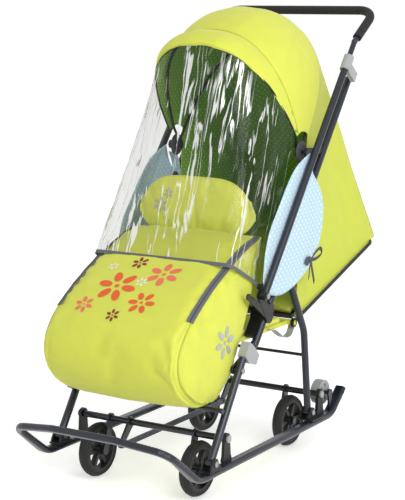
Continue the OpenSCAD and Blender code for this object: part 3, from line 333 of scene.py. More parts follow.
def gridFaces(rows, cols, base=0, flip=False):
    made = []
    for i in range(rows - 1):
        for j in range(cols - 1):
            a = base + i * cols + j
            quad = (a, a + cols, a + cols + 1, a + 1)
            made.append(quad[::-1] if flip else quad)
    return made


def discFaces(base, rings, count, flip):
    # rings of points from the edge inward, closed by one face in the middle
    start = base + (rings - 1) * count
    made = [tuple(range(start, start + count))]
    for r in range(rings - 1):
        for k in range(count):
            a, b = base + r * count + k, base + r * count + (k + 1) % count
            made.append((a, b, b + count, a + count))
    return [face[::-1] for face in made] if flip else made


def lensFaces(rings, count, flip):
    # two discs, one after the other in the list of points, and the rim between them
    per = rings * count
    made = discFaces(0, rings, count, flip) + discFaces(per, rings, count, not flip)
    for k in range(count):
        j = (k + 1) % count
        quad = (k, per + k, per + j, j)
        made.append(quad[::-1] if flip else quad)
    return made


def gridBorder(rows, cols):
    ring = ([(i, 0) for i in range(rows)] + [(rows - 1, j) for j in range(1, cols)]
            + [(i, cols - 1) for i in range(rows - 2, -1, -1)] + [(0, j) for j in range(cols - 2, 0, -1)])
    return [i * cols + j for i, j in ring]


finer = {"share": 0.5, "scale": 2.1}  # the second noise in a crease


def crease(g, height, size, seed, stretch, hold):
    # moves a grid along its normals by smooth noise; hold fades it at the edges
    n = gridNormals(g)
    uv = gridUv(g)
    for i in range(g.shape[0]):
        for j in range(g.shape[1]):
            p = Vector((uv[i, j, 0] / size / stretch[0], uv[i, j, 1] / size / stretch[1], seed))
            k = noise.noise(p) + finer["share"] * noise.noise(p * finer["scale"])
            g[i, j] += n[i, j] * height * k * hold[i, j]
    return g


def edgeHold(rows, cols, share=0.12):
    # zero at the edges, one beyond that share of the width
    i = np.minimum(np.arange(rows), np.arange(rows)[::-1]) / (rows - 1) / share
    j = np.minimum(np.arange(cols), np.arange(cols)[::-1]) / (cols - 1) / share
    return np.clip(np.minimum.outer(i, j), 0, 1)


cloth = {"frames": 20, "quality": 5, "mass": 0.15, "stiffness": 15, "bending": 0.4}


def settle(verts, faces, pins, pressure, slack, caps):
    # lets cloth give and wrinkle under pressure; every point stays within its cap of where it was
    verts = np.asarray(verts, float)
    scene = bpy.context.scene
    obj = newMesh("settling", verts, faces, [])
    group = obj.vertex_groups.new(name="pins")
    for index, weight in enumerate(pins):
        if weight > 0:
            group.add([index], float(weight), "REPLACE")
    made = obj.modifiers.new("cloth", "CLOTH")
    made.settings.quality = cloth["quality"]
    made.settings.mass = cloth["mass"]
    made.settings.tension_stiffness = cloth["stiffness"]
    made.settings.compression_stiffness = cloth["stiffness"]
    made.settings.bending_stiffness = cloth["bending"]
    made.settings.vertex_group_mass = "pins"
    made.settings.shrink_min = -slack
    made.settings.use_pressure = True
    made.settings.uniform_pressure_force = pressure
    made.settings.effector_weights.gravity = 0.0
    made.collision_settings.use_collision = False
    made.point_cache.frame_start = 1
    made.point_cache.frame_end = cloth["frames"]
    for step in range(1, cloth["frames"] + 1):
        scene.frame_set(step)
    done = obj.evaluated_get(bpy.context.evaluated_depsgraph_get()).data
    moved = np.zeros(len(verts) * 3)
    done.vertices.foreach_get("co", moved)
    scene.frame_set(1)
    bpy.data.objects.remove(obj, do_unlink=True)
    way = moved.reshape(-1, 3) - verts
    size = np.maximum(np.linalg.norm(way, axis=1), 1e-9)
    return verts + way * np.minimum(1, np.asarray(caps) / size)[:, None]


def settleGrid(g, pressure, slack, cap, hold):
    rows, cols = g.shape[:2]
    hold = hold.ravel()
    pins = np.where(hold <= 0, 1.0, 0.0)
    caps = cap * np.minimum(1, hold * 2)
    return settle(g.reshape(-1, 3), gridFaces(rows, cols), pins, pressure, slack, caps).reshape(rows, cols, 3)


def clothSheet(name, g, thick, outer, inner):
    # a sheet with two faces and a hem all round; thickness goes against the grid's normal
    rows, cols = g.shape[:2]
    over, under = g.reshape(-1, 3), (g - thick * gridNormals(g)).reshape(-1, 3)
    uv = gridUv(g).reshape(-1, 2)
    count, quads = rows * cols, (rows - 1) * (cols - 1)
    faces = gridFaces(rows, cols) + gridFaces(rows, cols, count, True)
    flat = gridBorder(rows, cols)
    verts = np.concatenate([over, under, over[flat], under[flat]])
    uvs = np.concatenate([uv, uv, uv[flat], uv[flat]])
    k, base = len(flat), 2 * count
    for i in range(k):
        j = (i + 1) % k
        faces.append((base + i, base + k + i, base + k + j, base + j))
    return newMesh(name, verts, faces, [outer, inner], uvs, [0] * quads + [1] * quads + [0] * k)


def tubeCurve(name, points, radius, material):
    data = bpy.data.curves.new(name, "CURVE")
    data.dimensions = "3D"
    data.bevel_depth = radius
    data.bevel_resolution = 3
    data.use_fill_caps = True
    line = data.splines.new("POLY")
    line.points.add(len(points) - 1)
    for p, q in zip(line.points, points):
        p.co = (*q, 1)
    line.use_smooth = True
    data.materials.append(material)
    obj = bpy.data.objects.new(name, data)
    bpy.context.scene.collection.objects.link(obj)
    return obj


def ribbon(name, points, across, width, thick, material):
    # a flat strap along points; across gives the width's direction at each point
    points, across = np.asarray(points, float), np.asarray(across, float)
    across = across / np.linalg.norm(across, axis=1, keepdims=True)
    g = np.stack([points + across * width * f for f in np.linspace(-0.5, 0.5, 5)], axis=1)
    return clothSheet(name, g, thick, material, material)


def spline(points, steps):
    # a smooth curve through the points, with that many steps from one to the next
    p = np.asarray(points, float)
    out = []
    for i in range(len(p) - 1):
        a, b, c, d = p[max(i - 1, 0)], p[i], p[i + 1], p[min(i + 2, len(p) - 1)]
        for k in range(steps):
            f = k / steps
            out.append(b + 0.5 * f * (c - a + f * (2 * a - 5 * b + 4 * c - d + f * (3 * b - a - 3 * c + d))))
    out.append(p[-1])
    return np.array(out)


def skinAt(skin, row, col):
    # point and normal of a grid at a place between its points
    rows, cols = skin[0].shape[:2]
    row, col = min(max(row, 0), rows - 1.001), min(max(col, 0), cols - 1.001)
    i, j = int(row), int(col)
    a, b = row - i, col - j
    p, n = [(m[i, j] * (1 - b) + m[i, j + 1] * b) * (1 - a)
            + (m[i + 1, j] * (1 - b) + m[i + 1, j + 1] * b) * a for m in skin]
    return p, n / np.linalg.norm(n)


# camera, light and floor
camera = {"target": (0.0, shift, 0.5), "azimuth": 31.868, "elevation": 10.289, "distance": 3.7565,
          "lens": 107.57, "sensor": 36.0, "shiftX": -4.073 / 500, "shiftY": 15.052 / 500, "clipEnd": 60}
# each lamp is watts, size and place
light = {"world": 0.58, "floorLift": 0.45, "aim": (0, 0, 0.6),
         "lamps": {"key": (94.0, 2.4, (3.4, -2.4, 3.4)), "side": (40.0, 2.0, (4.4, -1.0, 1.7)),
                   "fill": (3.0, 2.0, (-2.6, -3.0, 2.2)), "rim": (4.0, 1.6, (0.5, 3.0, 3.2))}}
floor = {"half": 20, "drop": 0.0005, "rough": 0.9}


def seenDirectly(tree):
    # one for rays from the eye, from gloss and through clear pieces; white added there lights nothing else
    path = addNode(tree, "ShaderNodeLightPath")
    toEye, gloss, clear = [path.outputs["Is %s Ray" % kind] for kind in ("Camera", "Glossy", "Transmission")]
    first = addNode(tree, "ShaderNodeMath", [(0, toEye), (1, gloss)], operation="MAXIMUM")
    return addNode(tree, "ShaderNodeMath", [(0, first), (1, clear)], operation="MAXIMUM")


def setStage():
    scene = bpy.context.scene
    az, el = math.radians(camera["azimuth"]), math.radians(camera["elevation"])
    back = Vector((math.sin(az) * math.cos(el), -math.cos(az) * math.cos(el), math.sin(el)))
    lens = bpy.data.cameras.new("camera")
    lens.lens = camera["lens"]
    lens.sensor_width = camera["sensor"]
    lens.sensor_height = camera["sensor"]
    lens.sensor_fit = "AUTO"
    lens.shift_x = camera["shiftX"]
    lens.shift_y = camera["shiftY"]
    lens.clip_end = camera["clipEnd"]
    eye = bpy.data.objects.new("camera", lens)
    scene.collection.objects.link(eye)
    eye.location = Vector(camera["target"]) + back * camera["distance"]
    eye.rotation_euler = back.to_track_quat("Z", "Y").to_euler()
    scene.camera = eye
    scene.view_settings.view_transform = "Standard"

    world = bpy.data.worlds.new("soft_white")
    world.use_nodes = True
    sky = world.node_tree.nodes["Background"]
    sky.inputs[0].default_value = (1, 1, 1, 1)
    seen = seenDirectly(world.node_tree)
    level = addNode(world.node_tree, "ShaderNodeMapRange", [(0, seen)], in_3=light["world"], in_4=1.0)
    world.node_tree.links.new(level.outputs[0], sky.inputs[1])
    scene.world = world
    for name, (watts, size, at) in light["lamps"].items():
        lamp = bpy.data.lights.new(name, "AREA")
        lamp.energy = watts
        lamp.size = size
        obj = bpy.data.objects.new(name, lamp)
        scene.collection.objects.link(obj)
        obj.location = at
        obj.rotation_euler = (Vector(at) - Vector(light["aim"])).to_track_quat("Z", "Y").to_euler()

    # matt white paint on the floor: holds only the shadow
    coat = newMaterial("painted_floor", colours["floor"], floor["rough"])
    shader = coat.node_tree.nodes["Principled BSDF"]
    shader.inputs["Emission Color"].default_value = (1, 1, 1, 1)
    seen = seenDirectly(coat.node_tree)
    lift = addNode(coat.node_tree, "ShaderNodeMapRange", [(0, seen)], in_3=0.0, in_4=light["floorLift"])
    coat.node_tree.links.new(lift.outputs[0], shader.inputs["Emission Strength"])
    half = floor["half"]
    ground = newMesh("floor", [(-half, -half, 0), (half, -half, 0), (half, half, 0), (-half, half, 0)],
                     [(0, 1, 2, 3)], [coat])
    ground.location.z = -floor["drop"]


setStage()
print("stage: camera, light and floor")

# hood; profiles are (angle of the arch about the pivot, reach of its crown)
hood = {"y": 0.150 + shift, "z": 0.782, "halfWidth": 0.188, "inner": 0.026, "power": 2.45, "end": 2.5,
        "cloth": 0.0022, "columns": 72}


def onArch(angle, reach):
    turn = math.radians(angle)
    return (hood["y"] + reach * math.cos(turn), hood["z"] + reach * math.sin(turn))


def arch(angle, reach, t):
    e = 2 / hood["power"]
    r = hood["inner"] + (reach - hood["inner"]) * math.sin(math.radians(t)) ** e
    c = math.cos(math.radians(t))
    return (hood["halfWidth"] * math.copysign(abs(c) ** e, c), *onArch(angle, r))


def archLine(angle, reach, n):
    return np.array([arch(angle, reach, hood["end"] + (180 - 2 * hood["end"]) * j / n) for j in range(n + 1)])


def hoodPanel(profile, steps):
    return np.array([archLine(a, r, hood["columns"]) for a, r in spline(profile, steps)])


# from the lined inside round the padded front edge to the seam with the main part
brim = {"profile": [(114.5, 0.322), (121, 0.328), (126.4, 0.3315), (127.5, 0.335), (128.2, 0.3405),
                    (128.1, 0.3465), (127.2, 0.3505), (125.2, 0.3525), (122.5, 0.351), (119.5, 0.3465),
                    (116.5, 0.339), (114.4, 0.3325), (113.3, 0.3285)],
        "steps": 3, "lined": 3, "crease": (0.0026, 0.05, 3.0, (1.0, 2.0)), "binding": 0.0022,
        "seam": (113.3, 0.3295), "seamRadius": 0.0014, "fill": 0.7}


def makeBrim():
    g = hoodPanel(brim["profile"], brim["steps"])
    rows, cols = g.shape[:2]
    crease(g, *brim["crease"], edgeHold(rows, cols))
    lined = brim["lined"] * brim["steps"]
    marks = [1 if i < lined else 0 for i in range(rows - 1) for _ in range(cols - 1)]
    obj = newMesh("brim_cover", g.reshape(-1, 3), gridFaces(rows, cols), [paint["lime"], paint["lining"]],
                  gridUv(g).reshape(-1, 2), marks)
    finishPiece(obj, "hood_front", "lime_fabric", "hood_brim")
    binding = tubeCurve("brim_binding", g[lined], brim["binding"], paint["black"])
    finishPiece(binding, "hood_front", "black_plastic")
    seamLine = archLine(*brim["seam"], hood["columns"])
    seam = tubeCurve("brim_seam", seamLine, brim["seamRadius"], paint["limeSeam"])
    finishPiece(seam, "hood_front", "lime_fabric")


dome = {"profile": [(113.1, 0.3285), (111.8, 0.3325), (108, 0.337), (104, 0.3413), (97, 0.3485), (90, 0.3545),
                    (82, 0.3594), (74, 0.3619), (66, 0.3625), (60, 0.3625), (54.3, 0.3622)],
        "steps": 4, "crease": (0.0032, 0.07, 11.0, (0.8, 3.0)), "blend": ((113, 0.30), (54.3, 0.345))}


def makeDome():
    g = hoodPanel(dome["profile"], dome["steps"])
    crease(g, *dome["crease"], edgeHold(*g.shape[:2]))
    obj = clothSheet("hood_cover", g, hood["cloth"], paint["lime"], paint["lining"])
    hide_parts("hood_dome")
    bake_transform(obj)


# the rear part, from the rear hoop down to the lowered backrest's frame; corner is a share of its edge
tent = {"hoop": (54.0, 0.362), "x": 0.1808, "front": (0.1351, 0.3576), "rear": (0.5935, 0.5065),
        "lift": 0.0010, "corner": 0.26, "cornerSoft": 0.05, "edgeSoft": 0.08, "rows": 26, "columns": 96,
        "sag": 0.012, "crease": (0.0026, 0.09, 23.0, (0.7, 2.5)),
        "blend": ((0.2673, 0.7287), (0.360, 0.4434))}


def tentEdge(f):
    g, s = (1 - f, -1) if f > 0.5 else (f, 1)
    (fy, fz), (ry, rz) = tent["front"], tent["rear"]
    if g < tent["corner"]:
        k = g / tent["corner"]
        return (s * tent["x"], fy + (ry - fy) * k + shift, fz + (rz - fz) * k + tent["lift"])
    k = (0.5 - g) / (0.5 - tent["corner"])
    return (s * tent["x"] * k, ry + shift, rz + tent["lift"])


def makeTent():
    cols, rows = tent["columns"], tent["rows"]
    top = archLine(*tent["hoop"], cols)
    low = np.array([tentEdge(j / cols) for j in range(cols + 1)])
    g = np.array([top + (low - top) * i / rows for i in range(rows + 1)])
    n = gridNormals(g)
    for i in range(rows + 1):
        sag = tent["sag"] * math.sin(math.pi * i / rows)
        for j in range(cols + 1):
            edge = min(j, cols - j) / cols
            corner = math.exp(-((edge - tent["corner"]) / tent["cornerSoft"]) ** 2)
            g[i, j] -= n[i, j] * sag * (1 - corner) * min(1, edge / tent["edgeSoft"])
    crease(g, *tent["crease"], edgeHold(rows + 1, cols + 1))
    # the rear panel's outside in the darker lime: painted shade
    obj = clothSheet("hood_back", g, hood["cloth"], paint["limeDeep"], paint["lining"])
    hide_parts("hood_tent")
    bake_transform(obj)


hubPatch = {"radius": 0.028, "sides": 32, "rings": (1.0, 0.66, 0.33), "x": (0.1850, 0.1862)}


def makeHubPatch(side, label):
    # a round of dark grey webbing over the hood's pivot, where the cloth of the hood comes together
    ring, count = hubPatch["radius"], hubPatch["sides"]
    turns = [2 * math.pi * k / count for k in range(count)]
    spots = [(ring * f * math.cos(a), ring * f * math.sin(a)) for f in hubPatch["rings"] for a in turns]
    verts = [(side * x, hood["y"] + y, hood["z"] + z) for x in hubPatch["x"] for y, z in spots]
    faces = lensFaces(len(hubPatch["rings"]), count, side > 0)
    finishPiece(newMesh("hub_patch_" + label, verts, faces, [paint["tie"]]), "upper_frame", "lime_fabric")


makeBrim()
makeDome()
makeTent()
for side, label in bothSides:
    makeHubPatch(side, label)
print("stage: hood")

# rain film, from the brim down to a taped hem that is held at the seat brackets
film = {"top": (127.9, 0.337), "bandSide": (-0.088, 0.480), "bandFront": (-0.213, 0.546), "bandWidth": 0.199,
        "turn": 0.16, "eased": 14, "rows": 64, "columns": 120, "edge": 0.08,
        "wrinkles": [(0.0034, 0.045, 41.0, (0.8, 4.0)), (0.00204, 0.02, 57.0, (0.7, 2.2))],
        "hem": 0.009, "hemLift": 0.0016, "hemThick": 0.0012, "blend": ((-0.18, 0.57), (-0.06, 1.03))}


def bandLine(columns):
    # from the right knob over the muff to the left one, with the corners eased
    line = []
    (ay, az), (by, bz) = film["bandSide"], film["bandFront"]
    for j in range(columns + 1):
        f = j / columns
        g, s = min(f, 1 - f), (-1 if f > 0.5 else 1)
        k = min(1, g / film["turn"])
        x = film["bandWidth"] * min(1, (0.5 - g) / (0.5 - film["turn"]))
        line.append((s * x, ay + (by - ay) * k + shift, az + (bz - az) * k))
    line = np.array(line)
    for _ in range(film["eased"]):
        line[1:-1] = (line[:-2] + 2 * line[1:-1] + line[2:]) / 4
    return line


def makeFilm():
    rows, cols = film["rows"], film["columns"]
    top, low = archLine(*film["top"], cols), bandLine(cols)
    g = np.array([low + (top - low) * i / rows for i in range(rows + 1)])
    hold = edgeHold(rows + 1, cols + 1, film["edge"])
    for wrinkle in film["wrinkles"]:
        crease(g, *wrinkle, hold)
    obj = newMesh("film_sheet", g.reshape(-1, 3), gridFaces(rows + 1, cols + 1), [paint["film"]],
                  gridUv(g).reshape(-1, 2))
    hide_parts("rain_film")
    rise = (top - low) / np.linalg.norm(top - low, axis=1, keepdims=True)
    hemGrid = np.array([low + rise * film["hem"] * f for f in np.linspace(0, 1, 5)])
    outward = gridNormals(hemGrid)
    inside = (0, 0.1, 0)  # a point on the seat's side of the band
    outward *= np.where((outward * (low - inside)[None]).sum(axis=2, keepdims=True) > 0, 1, -1)
    hemGrid = hemGrid + outward * film["hemLift"]
    band = clothSheet("film_hem", hemGrid, film["hemThick"], paint["tape"], paint["tape"])
    finishPiece(band, "upper_frame", "clear_film")
    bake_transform(obj)


makeFilm()
print("stage: film")

# muff; ends gives how far a section is drawn out towards the outline, from its side to its middle
muff = {"outline": [(-0.052, 0.584), (-0.150, 0.560), (-0.270, 0.508), (-0.376, 0.440), (-0.432, 0.372),
                    (-0.424, 0.306), (-0.350, 0.246), (-0.262, 0.236), (-0.196, 0.276)],
        "ends": [(1.0, 0.0), (0.997, 0.45), (0.991, 0.80), (0.982, 0.925), (0.962, 0.972), (0.92, 0.992),
                 (0.80, 1.004), (0.5, 1.02), (0.0, 1.03)],
        "halfWidth": 0.186, "steps": 9, "fine": 5, "thick": 0.0028,
        "crease": (0.0022, 0.06, 71.0, (1.5, 1.2)), "edge": 0.06, "puff": 0.026, "puffEnd": 0.19,
        "cheek": 0.007, "lip": 0.011, "lipEnd": 0.05, "pressure": 4.0, "slack": 0.035, "cap": 0.009,
        "fill": 0.5, "seam": 3.5, "still": (1, 7), "piping": 0.0017, "pipingLift": 0.0006, "pipingSpots": 90,
        "zip": 0.957, "zipStart": 0.5, "zipEnd": 0.372, "zipSpots": 60, "zipWidth": 0.017, "zipThick": 0.001,
        "zipLift": 0.0026, "teeth": 0.0015}


def muffGrid():
    outline = spline([(y + shift, z) for y, z in muff["outline"]], muff["steps"])
    half = [(x, k) for x, k in spline(muff["ends"], muff["fine"])]
    across = half + [(-x, k) for x, k in half[-2::-1]]
    chord = np.linspace(outline[0], outline[-1], len(outline))
    along = np.linspace(0, 1, len(outline))
    g = np.array([[(x * muff["halfWidth"], *(c + (o - c) * s)) for o, c in zip(outline, chord)]
                  for x, s in across])
    g[:, :, 0] *= 1 + muff["cheek"] / muff["halfWidth"] * np.sin(np.pi * along)[None, :] ** 2
    g[:, :, 2] += muff["lip"] * np.exp(-along / muff["lipEnd"])[None, :]
    swell = np.sin(np.pi * np.minimum(1, along / muff["puffEnd"]))
    g[:, :, 2] += muff["puff"] * np.outer([1 - x ** 4 for x, _ in across], swell)
    return g, len(half) - 1


def makeMuff():
    g, middle = muffGrid()
    rows, cols = g.shape[:2]
    hold = edgeHold(rows, cols, muff["edge"])
    crease(g, *muff["crease"], hold)
    seamRow = round(muff["fine"] * muff["seam"])
    before, after = muff["still"]  # rows about the seam and the zip, which stay straight
    hold[seamRow - before:seamRow + after] = 0
    hold[rows - after - seamRow:rows + before - seamRow] = 0
    g = settleGrid(g, muff["pressure"], muff["slack"], muff["cap"], hold)
    # the muff's inside in the lighter lime: painted light
    obj = clothSheet("muff_cover", g, muff["thick"], paint["lime"], paint["limePale"])
    finishPiece(obj, "upper_frame", "lime_fabric", "muff")
    skin = (g, gridNormals(g))
    zipRow = float(np.interp(-muff["zip"] * muff["halfWidth"], -g[:middle + 1, 0, 0], np.arange(middle + 1)))
    for side, label in bothSides:
        row = seamRow if side > 0 else rows - 1 - seamRow
        spots = [skinAt(skin, row, c) for c in np.linspace(1, cols - 2, muff["pipingSpots"])]
        path = [p + n * muff["pipingLift"] for p, n in spots]
        piping = tubeCurve("muff_piping_" + label, path, muff["piping"], paint["limeSeam"])
        finishPiece(piping, "upper_frame", "lime_fabric")
        row = zipRow if side > 0 else rows - 1 - zipRow
        columns = np.linspace(muff["zipStart"], (cols - 1) * muff["zipEnd"], muff["zipSpots"])
        spots = [skinAt(skin, row, c) for c in columns]
        ways = np.gradient(np.array([p for p, _ in spots]), axis=0)
        over = [np.cross(n, w) for (_, n), w in zip(spots, ways)]
        path = [p + n * muff["zipLift"] for p, n in spots]
        tape = ribbon("muff_zip_" + label, path, over, muff["zipWidth"], muff["zipThick"], paint["tape"])
        finishPiece(tape, "upper_frame", "lime_fabric")
        teeth = tubeCurve("zip_teeth_" + label, path, muff["teeth"], paint["tie"])
        finishPiece(teeth, "upper_frame", "lime_fabric")
    return skin, middle


muffSkin, muffMiddle = makeMuff()

# prints; a spot is colour, x across, metres from the muff's top edge, size and turn
prints = {"spots": [("orange", -0.050, 0.300, 0.104, 0.10), ("coral", 0.048, 0.240, 0.086, 0.38),
                    ("orange", 0.044, 0.344, 0.070, 0.0), ("plum", -0.040, 0.206, 0.044, 0.22),
                    ("cream", 0.006, 0.276, 0.032, 0.1), ("cream", -0.102, 0.232, 0.028, 0.4),
                    ("coral", -0.104, 0.372, 0.050, 0.2), ("plum", -0.010, 0.392, 0.036, 0.3)],
          "sideAt": (-0.244 + shift, 0.373), "sideSize": 0.078, "sideTurn": 0.2, "sideFrom": 0.97,
          "nearest": 6, "lift": 0.0008,
          "petals": 6, "turn": 0.3, "slim": 0.34, "flakeSlim": 0.3, "core": 0.12,
          "petalAt": 0.33, "petalLong": 0.36, "petalWide": 0.62, "rings": 3, "points": 16}


def petal(cx, cy, length, width, angle):
    # an ellipse as rings of points round its middle
    rings, count = prints["rings"], prints["points"]
    c, s = math.cos(angle), math.sin(angle)
    out = [(cx, cy)]
    for r in range(1, rings + 1):
        for k in range(count):
            a = 2 * math.pi * k / count
            u, v = 0.5 * length * r / rings * math.cos(a), 0.5 * width * r / rings * math.sin(a)
            out.append((cx + u * c - v * s, cy + u * s + v * c))
    faces = [(0, 1 + k, 1 + (k + 1) % count) for k in range(count)]
    for r in range(rings - 1):
        for k in range(count):
            a, b = 1 + r * count + k, 1 + r * count + (k + 1) % count
            faces.append((a, a + count, b + count, b))
    return out, faces


def blossom(size, turn, slim):
    at, core = prints["petalAt"] * size, prints["core"] * size
    angles = [turn + 2 * math.pi * k / prints["petals"] for k in range(prints["petals"])]
    shapes = [petal(at * math.cos(a), at * math.sin(a), prints["petalLong"] * size,
                    slim * prints["petalWide"] * size, a) for a in angles]
    return shapes + [petal(0, 0, core, core, 0)]


def printOn(name, shapes, toSurface, material):
    verts, faces = [], []
    for points, polys in shapes:
        base = len(verts)
        verts += [tuple(toSurface(u, v)) for u, v in points]
        faces += [tuple(base + i for i in f) for f in polys]
    return finishPiece(newMesh(name, verts, faces, [material]), "upper_frame", "lime_fabric")


def muffPoint(x, along):
    # x across, along is the distance from the muff's top edge over the middle
    g = muffSkin[0]
    lengths = np.concatenate([[0], np.cumsum(np.linalg.norm(np.diff(g[muffMiddle], axis=0), axis=1))])
    col = float(np.interp(along, lengths, np.arange(len(lengths))))
    xs = g[:, int(col), 0]
    p, n = skinAt(muffSkin, float(np.interp(-x, -xs, np.arange(len(xs)))), col)
    return p + n * prints["lift"]


def gussetPoint(y, z):
    # on the muff's right side, over the outermost of the nearest points
    flatGrid = muffSkin[0].reshape(-1, 3)
    side = flatGrid[flatGrid[:, 0] > prints["sideFrom"] * muff["halfWidth"]]
    k = np.argsort((side[:, 1] - y) ** 2 + (side[:, 2] - z) ** 2)[:prints["nearest"]]
    return np.array((side[k, 0].max() + prints["lift"], y, z))


def makePrints():
    # a loose field of plain winter blossoms on the front
    for k, (colour, x, along, size, turn) in enumerate(prints["spots"]):
        printOn("blossom_%d" % k, blossom(size, turn, prints["slim"]),
                lambda u, v, x=x, s=along: muffPoint(x + u, s + v), paint[colour])
    y, z = prints["sideAt"]
    printOn("side_flake", blossom(prints["sideSize"], prints["sideTurn"], prints["flakeSlim"]),
            lambda u, v: gussetPoint(y + u, z + v), paint["silver"])


makePrints()
print("stage: muff")

# flap; corner is the height of its ends below and above, rounding how late the edges turn to them
flap = {"low": (-0.043, 0.5851), "top": (-0.038, 0.727), "corner": (0.630, 0.646), "rounding": (7, 4.5),
        "halfWidth": 0.166, "bow": 0.005, "thick": 0.006, "rows": 28, "columns": 48,
        "bulge": 0.007, "bulgeEdge": 0.35, "crease": (0.0012, 0.06, 91.0, (1, 1)),
        "pressure": 4.0, "slack": 0.03, "cap": 0.007, "fill": 0.6, "piping": 0.0022, "height": 0.145,
        "flakes": (("small", -0.072, 0.70, 0.028), ("large", -0.096, 0.50, 0.044))}


def flapGrid():
    g = np.zeros((flap["rows"] + 1, flap["columns"] + 1, 3))
    (ly, lz), (ty, tz) = flap["low"], flap["top"]
    for i in range(flap["rows"] + 1):
        for j in range(flap["columns"] + 1):
            u, f = 1 - 2 * j / flap["columns"], i / flap["rows"]
            low = lz + (flap["corner"][0] - lz) * abs(u) ** flap["rounding"][0]
            high = tz + (flap["corner"][1] - tz) * abs(u) ** flap["rounding"][1]
            z = low + (high - low) * f
            lean = (z - lz) / (tz - lz)
            g[i, j] = (flap["halfWidth"] * u, ly + (ty - ly) * lean - flap["bow"] * (1 - u * u) + shift, z)
    return g


def makeFlap():
    g = flapGrid()
    rows, cols = g.shape[:2]
    n = gridNormals(g)
    out = n if n[rows // 2, cols // 2, 1] < 0 else -n
    hold = edgeHold(rows, cols, flap["bulgeEdge"])
    front = g + out * flap["thick"]
    front += out * (flap["bulge"] * np.sin(hold * math.pi / 2))[:, :, None]
    crease(front, *flap["crease"], hold)
    if gridNormals(front)[rows // 2, cols // 2, 1] > 0:
        front = front[:, ::-1]
    front = settleGrid(front, flap["pressure"], flap["slack"], flap["cap"], edgeHold(rows, cols))
    # the flap and its piping in the lighter lime: painted light where it lies in shade behind the film
    obj = clothSheet("flap_cover", front, flap["thick"], paint["limePale"], paint["limePale"])
    finishPiece(obj, "upper_frame", "lime_pad", "muff_flap")
    border = np.concatenate([front[:, 0], front[-1, 1:], front[-2::-1, -1]])
    piping = tubeCurve("flap_piping", border, flap["piping"], paint["limePale"])
    finishPiece(piping, "upper_frame", "lime_pad")
    skin = (front, gridNormals(front))

    def flapPoint(x, f):
        row = f * (rows - 1)
        xs = front[int(row), :, 0]
        order = np.argsort(xs)
        p, way = skinAt(skin, row, float(np.interp(x, xs[order], np.arange(cols)[order])))
        return p + way * prints["lift"]

    for name, x, f, size in flap["flakes"]:
        printOn("flap_flake_" + name, blossom(size, prints["turn"], prints["flakeSlim"]),
                lambda u, v, x=x, f=f: flapPoint(x + u, f + v / flap["height"]), paint["silver"])


makeFlap()
print("stage: flap")

# side wings, flat where the side tube and the handle arm pass them
tube = {"slope": 52.0, "sidePoint": (0.096, 0.600), "handlePoint": (-0.102, 0.463), "keep": 0.013,
        "ease": 0.03}
wing = {"points": [(0.142, 0.782), (0.060, 0.745), (-0.018, 0.660), (-0.064, 0.600), (-0.085, 0.528),
                   (-0.080, 0.470), (0.0, 0.446), (0.098, 0.470), (0.180, 0.528), (0.214, 0.614),
                   (0.202, 0.682), (0.160, 0.732)],
        "inner": 0.2126, "outer": 0.2156, "bulgeOut": 0.010, "bulgeIn": 0.005, "rim": 0.0012,
        "ripple": 0.0006, "rippleScale": 40, "steps": 10, "rings": 14, "gather": 0.8, "pressure": 4.0,
        "slack": 0.03, "cap": 0.005, "capEase": 6, "fill": 0.4}


def clearOf(point, y, z):
    # zero beside a tube through that point, one where the cloth is free of it
    d = (math.cos(math.radians(tube["slope"])), math.sin(math.radians(tube["slope"])))
    off = abs((y - point[0]) * d[1] - (z - point[1]) * d[0])
    v = min(max((off - tube["keep"]) / tube["ease"], 0), 1)
    return v * v * (3 - 2 * v)


def makeWing(side, label):
    edge = spline(list(wing["points"]) + [wing["points"][0]], wing["steps"])[:-1]
    middle = edge.mean(axis=0)
    rings, count = wing["rings"], len(edge)
    verts, uvs, caps, pins = [], [], [], []
    for face in (1, -1):
        for r in range(rings, 0, -1):
            f = (r / rings) ** wing["gather"]  # closer rings near the edge
            swell = math.sqrt(max(1 - f ** 3, 0))
            for k in range(count):
                y, z = middle + (edge[k] - middle) * f
                if face > 0:
                    free = clearOf(tube["handlePoint"], y, z)
                    x = wing["outer"] - wing["rim"] * f ** 6 + wing["bulgeOut"] * swell * free
                else:
                    free = clearOf(tube["sidePoint"], y, z)
                    x = wing["inner"] + wing["rim"] * f ** 6 - wing["bulgeIn"] * swell * free
                at = Vector((y * wing["rippleScale"], z * wing["rippleScale"], 5 + face))
                x += wing["ripple"] * noise.noise(at)
                verts.append((side * x, y + shift, z))
                uvs.append((y, z))
                caps.append(wing["cap"] * free * min(1, (1 - f) * wing["capEase"]))
                pins.append(1.0 if r == rings else 0.0)
    faces = lensFaces(rings, count, side > 0)  # they face inward, so the pressure draws the wing in
    verts = settle(verts, faces, pins, wing["pressure"], wing["slack"], caps)
    obj = newMesh("wing_cover_" + label, verts, faces, [paint["blue"]], uvs)
    finishPiece(obj, "upper_frame", "blue_fabric", "wing_" + label)


gusset = {"line": [(0.150, 0.762), (0.164, 0.735), (0.172, 0.690), (0.172, 0.630), (0.160, 0.575),
                   (0.140, 0.535)],
          "x": 0.1985, "steps": 8, "width": 0.024, "thick": 0.0014}


def makeGusset(side, label):
    # the narrow strip that joins a wing's rear edge to the hood's side
    points = [(side * gusset["x"], y + shift, z) for y, z in spline(gusset["line"], gusset["steps"])]
    obj = ribbon("wing_gusset_" + label, points, [(side * 1.0, 0.0, 0.0)] * len(points), gusset["width"],
                 gusset["thick"], paint["blue"])
    finishPiece(obj, "upper_frame", "blue_fabric")


for side, label in bothSides:
    makeWing(side, label)
for side, label in bothSides:
    makeGusset(side, label)

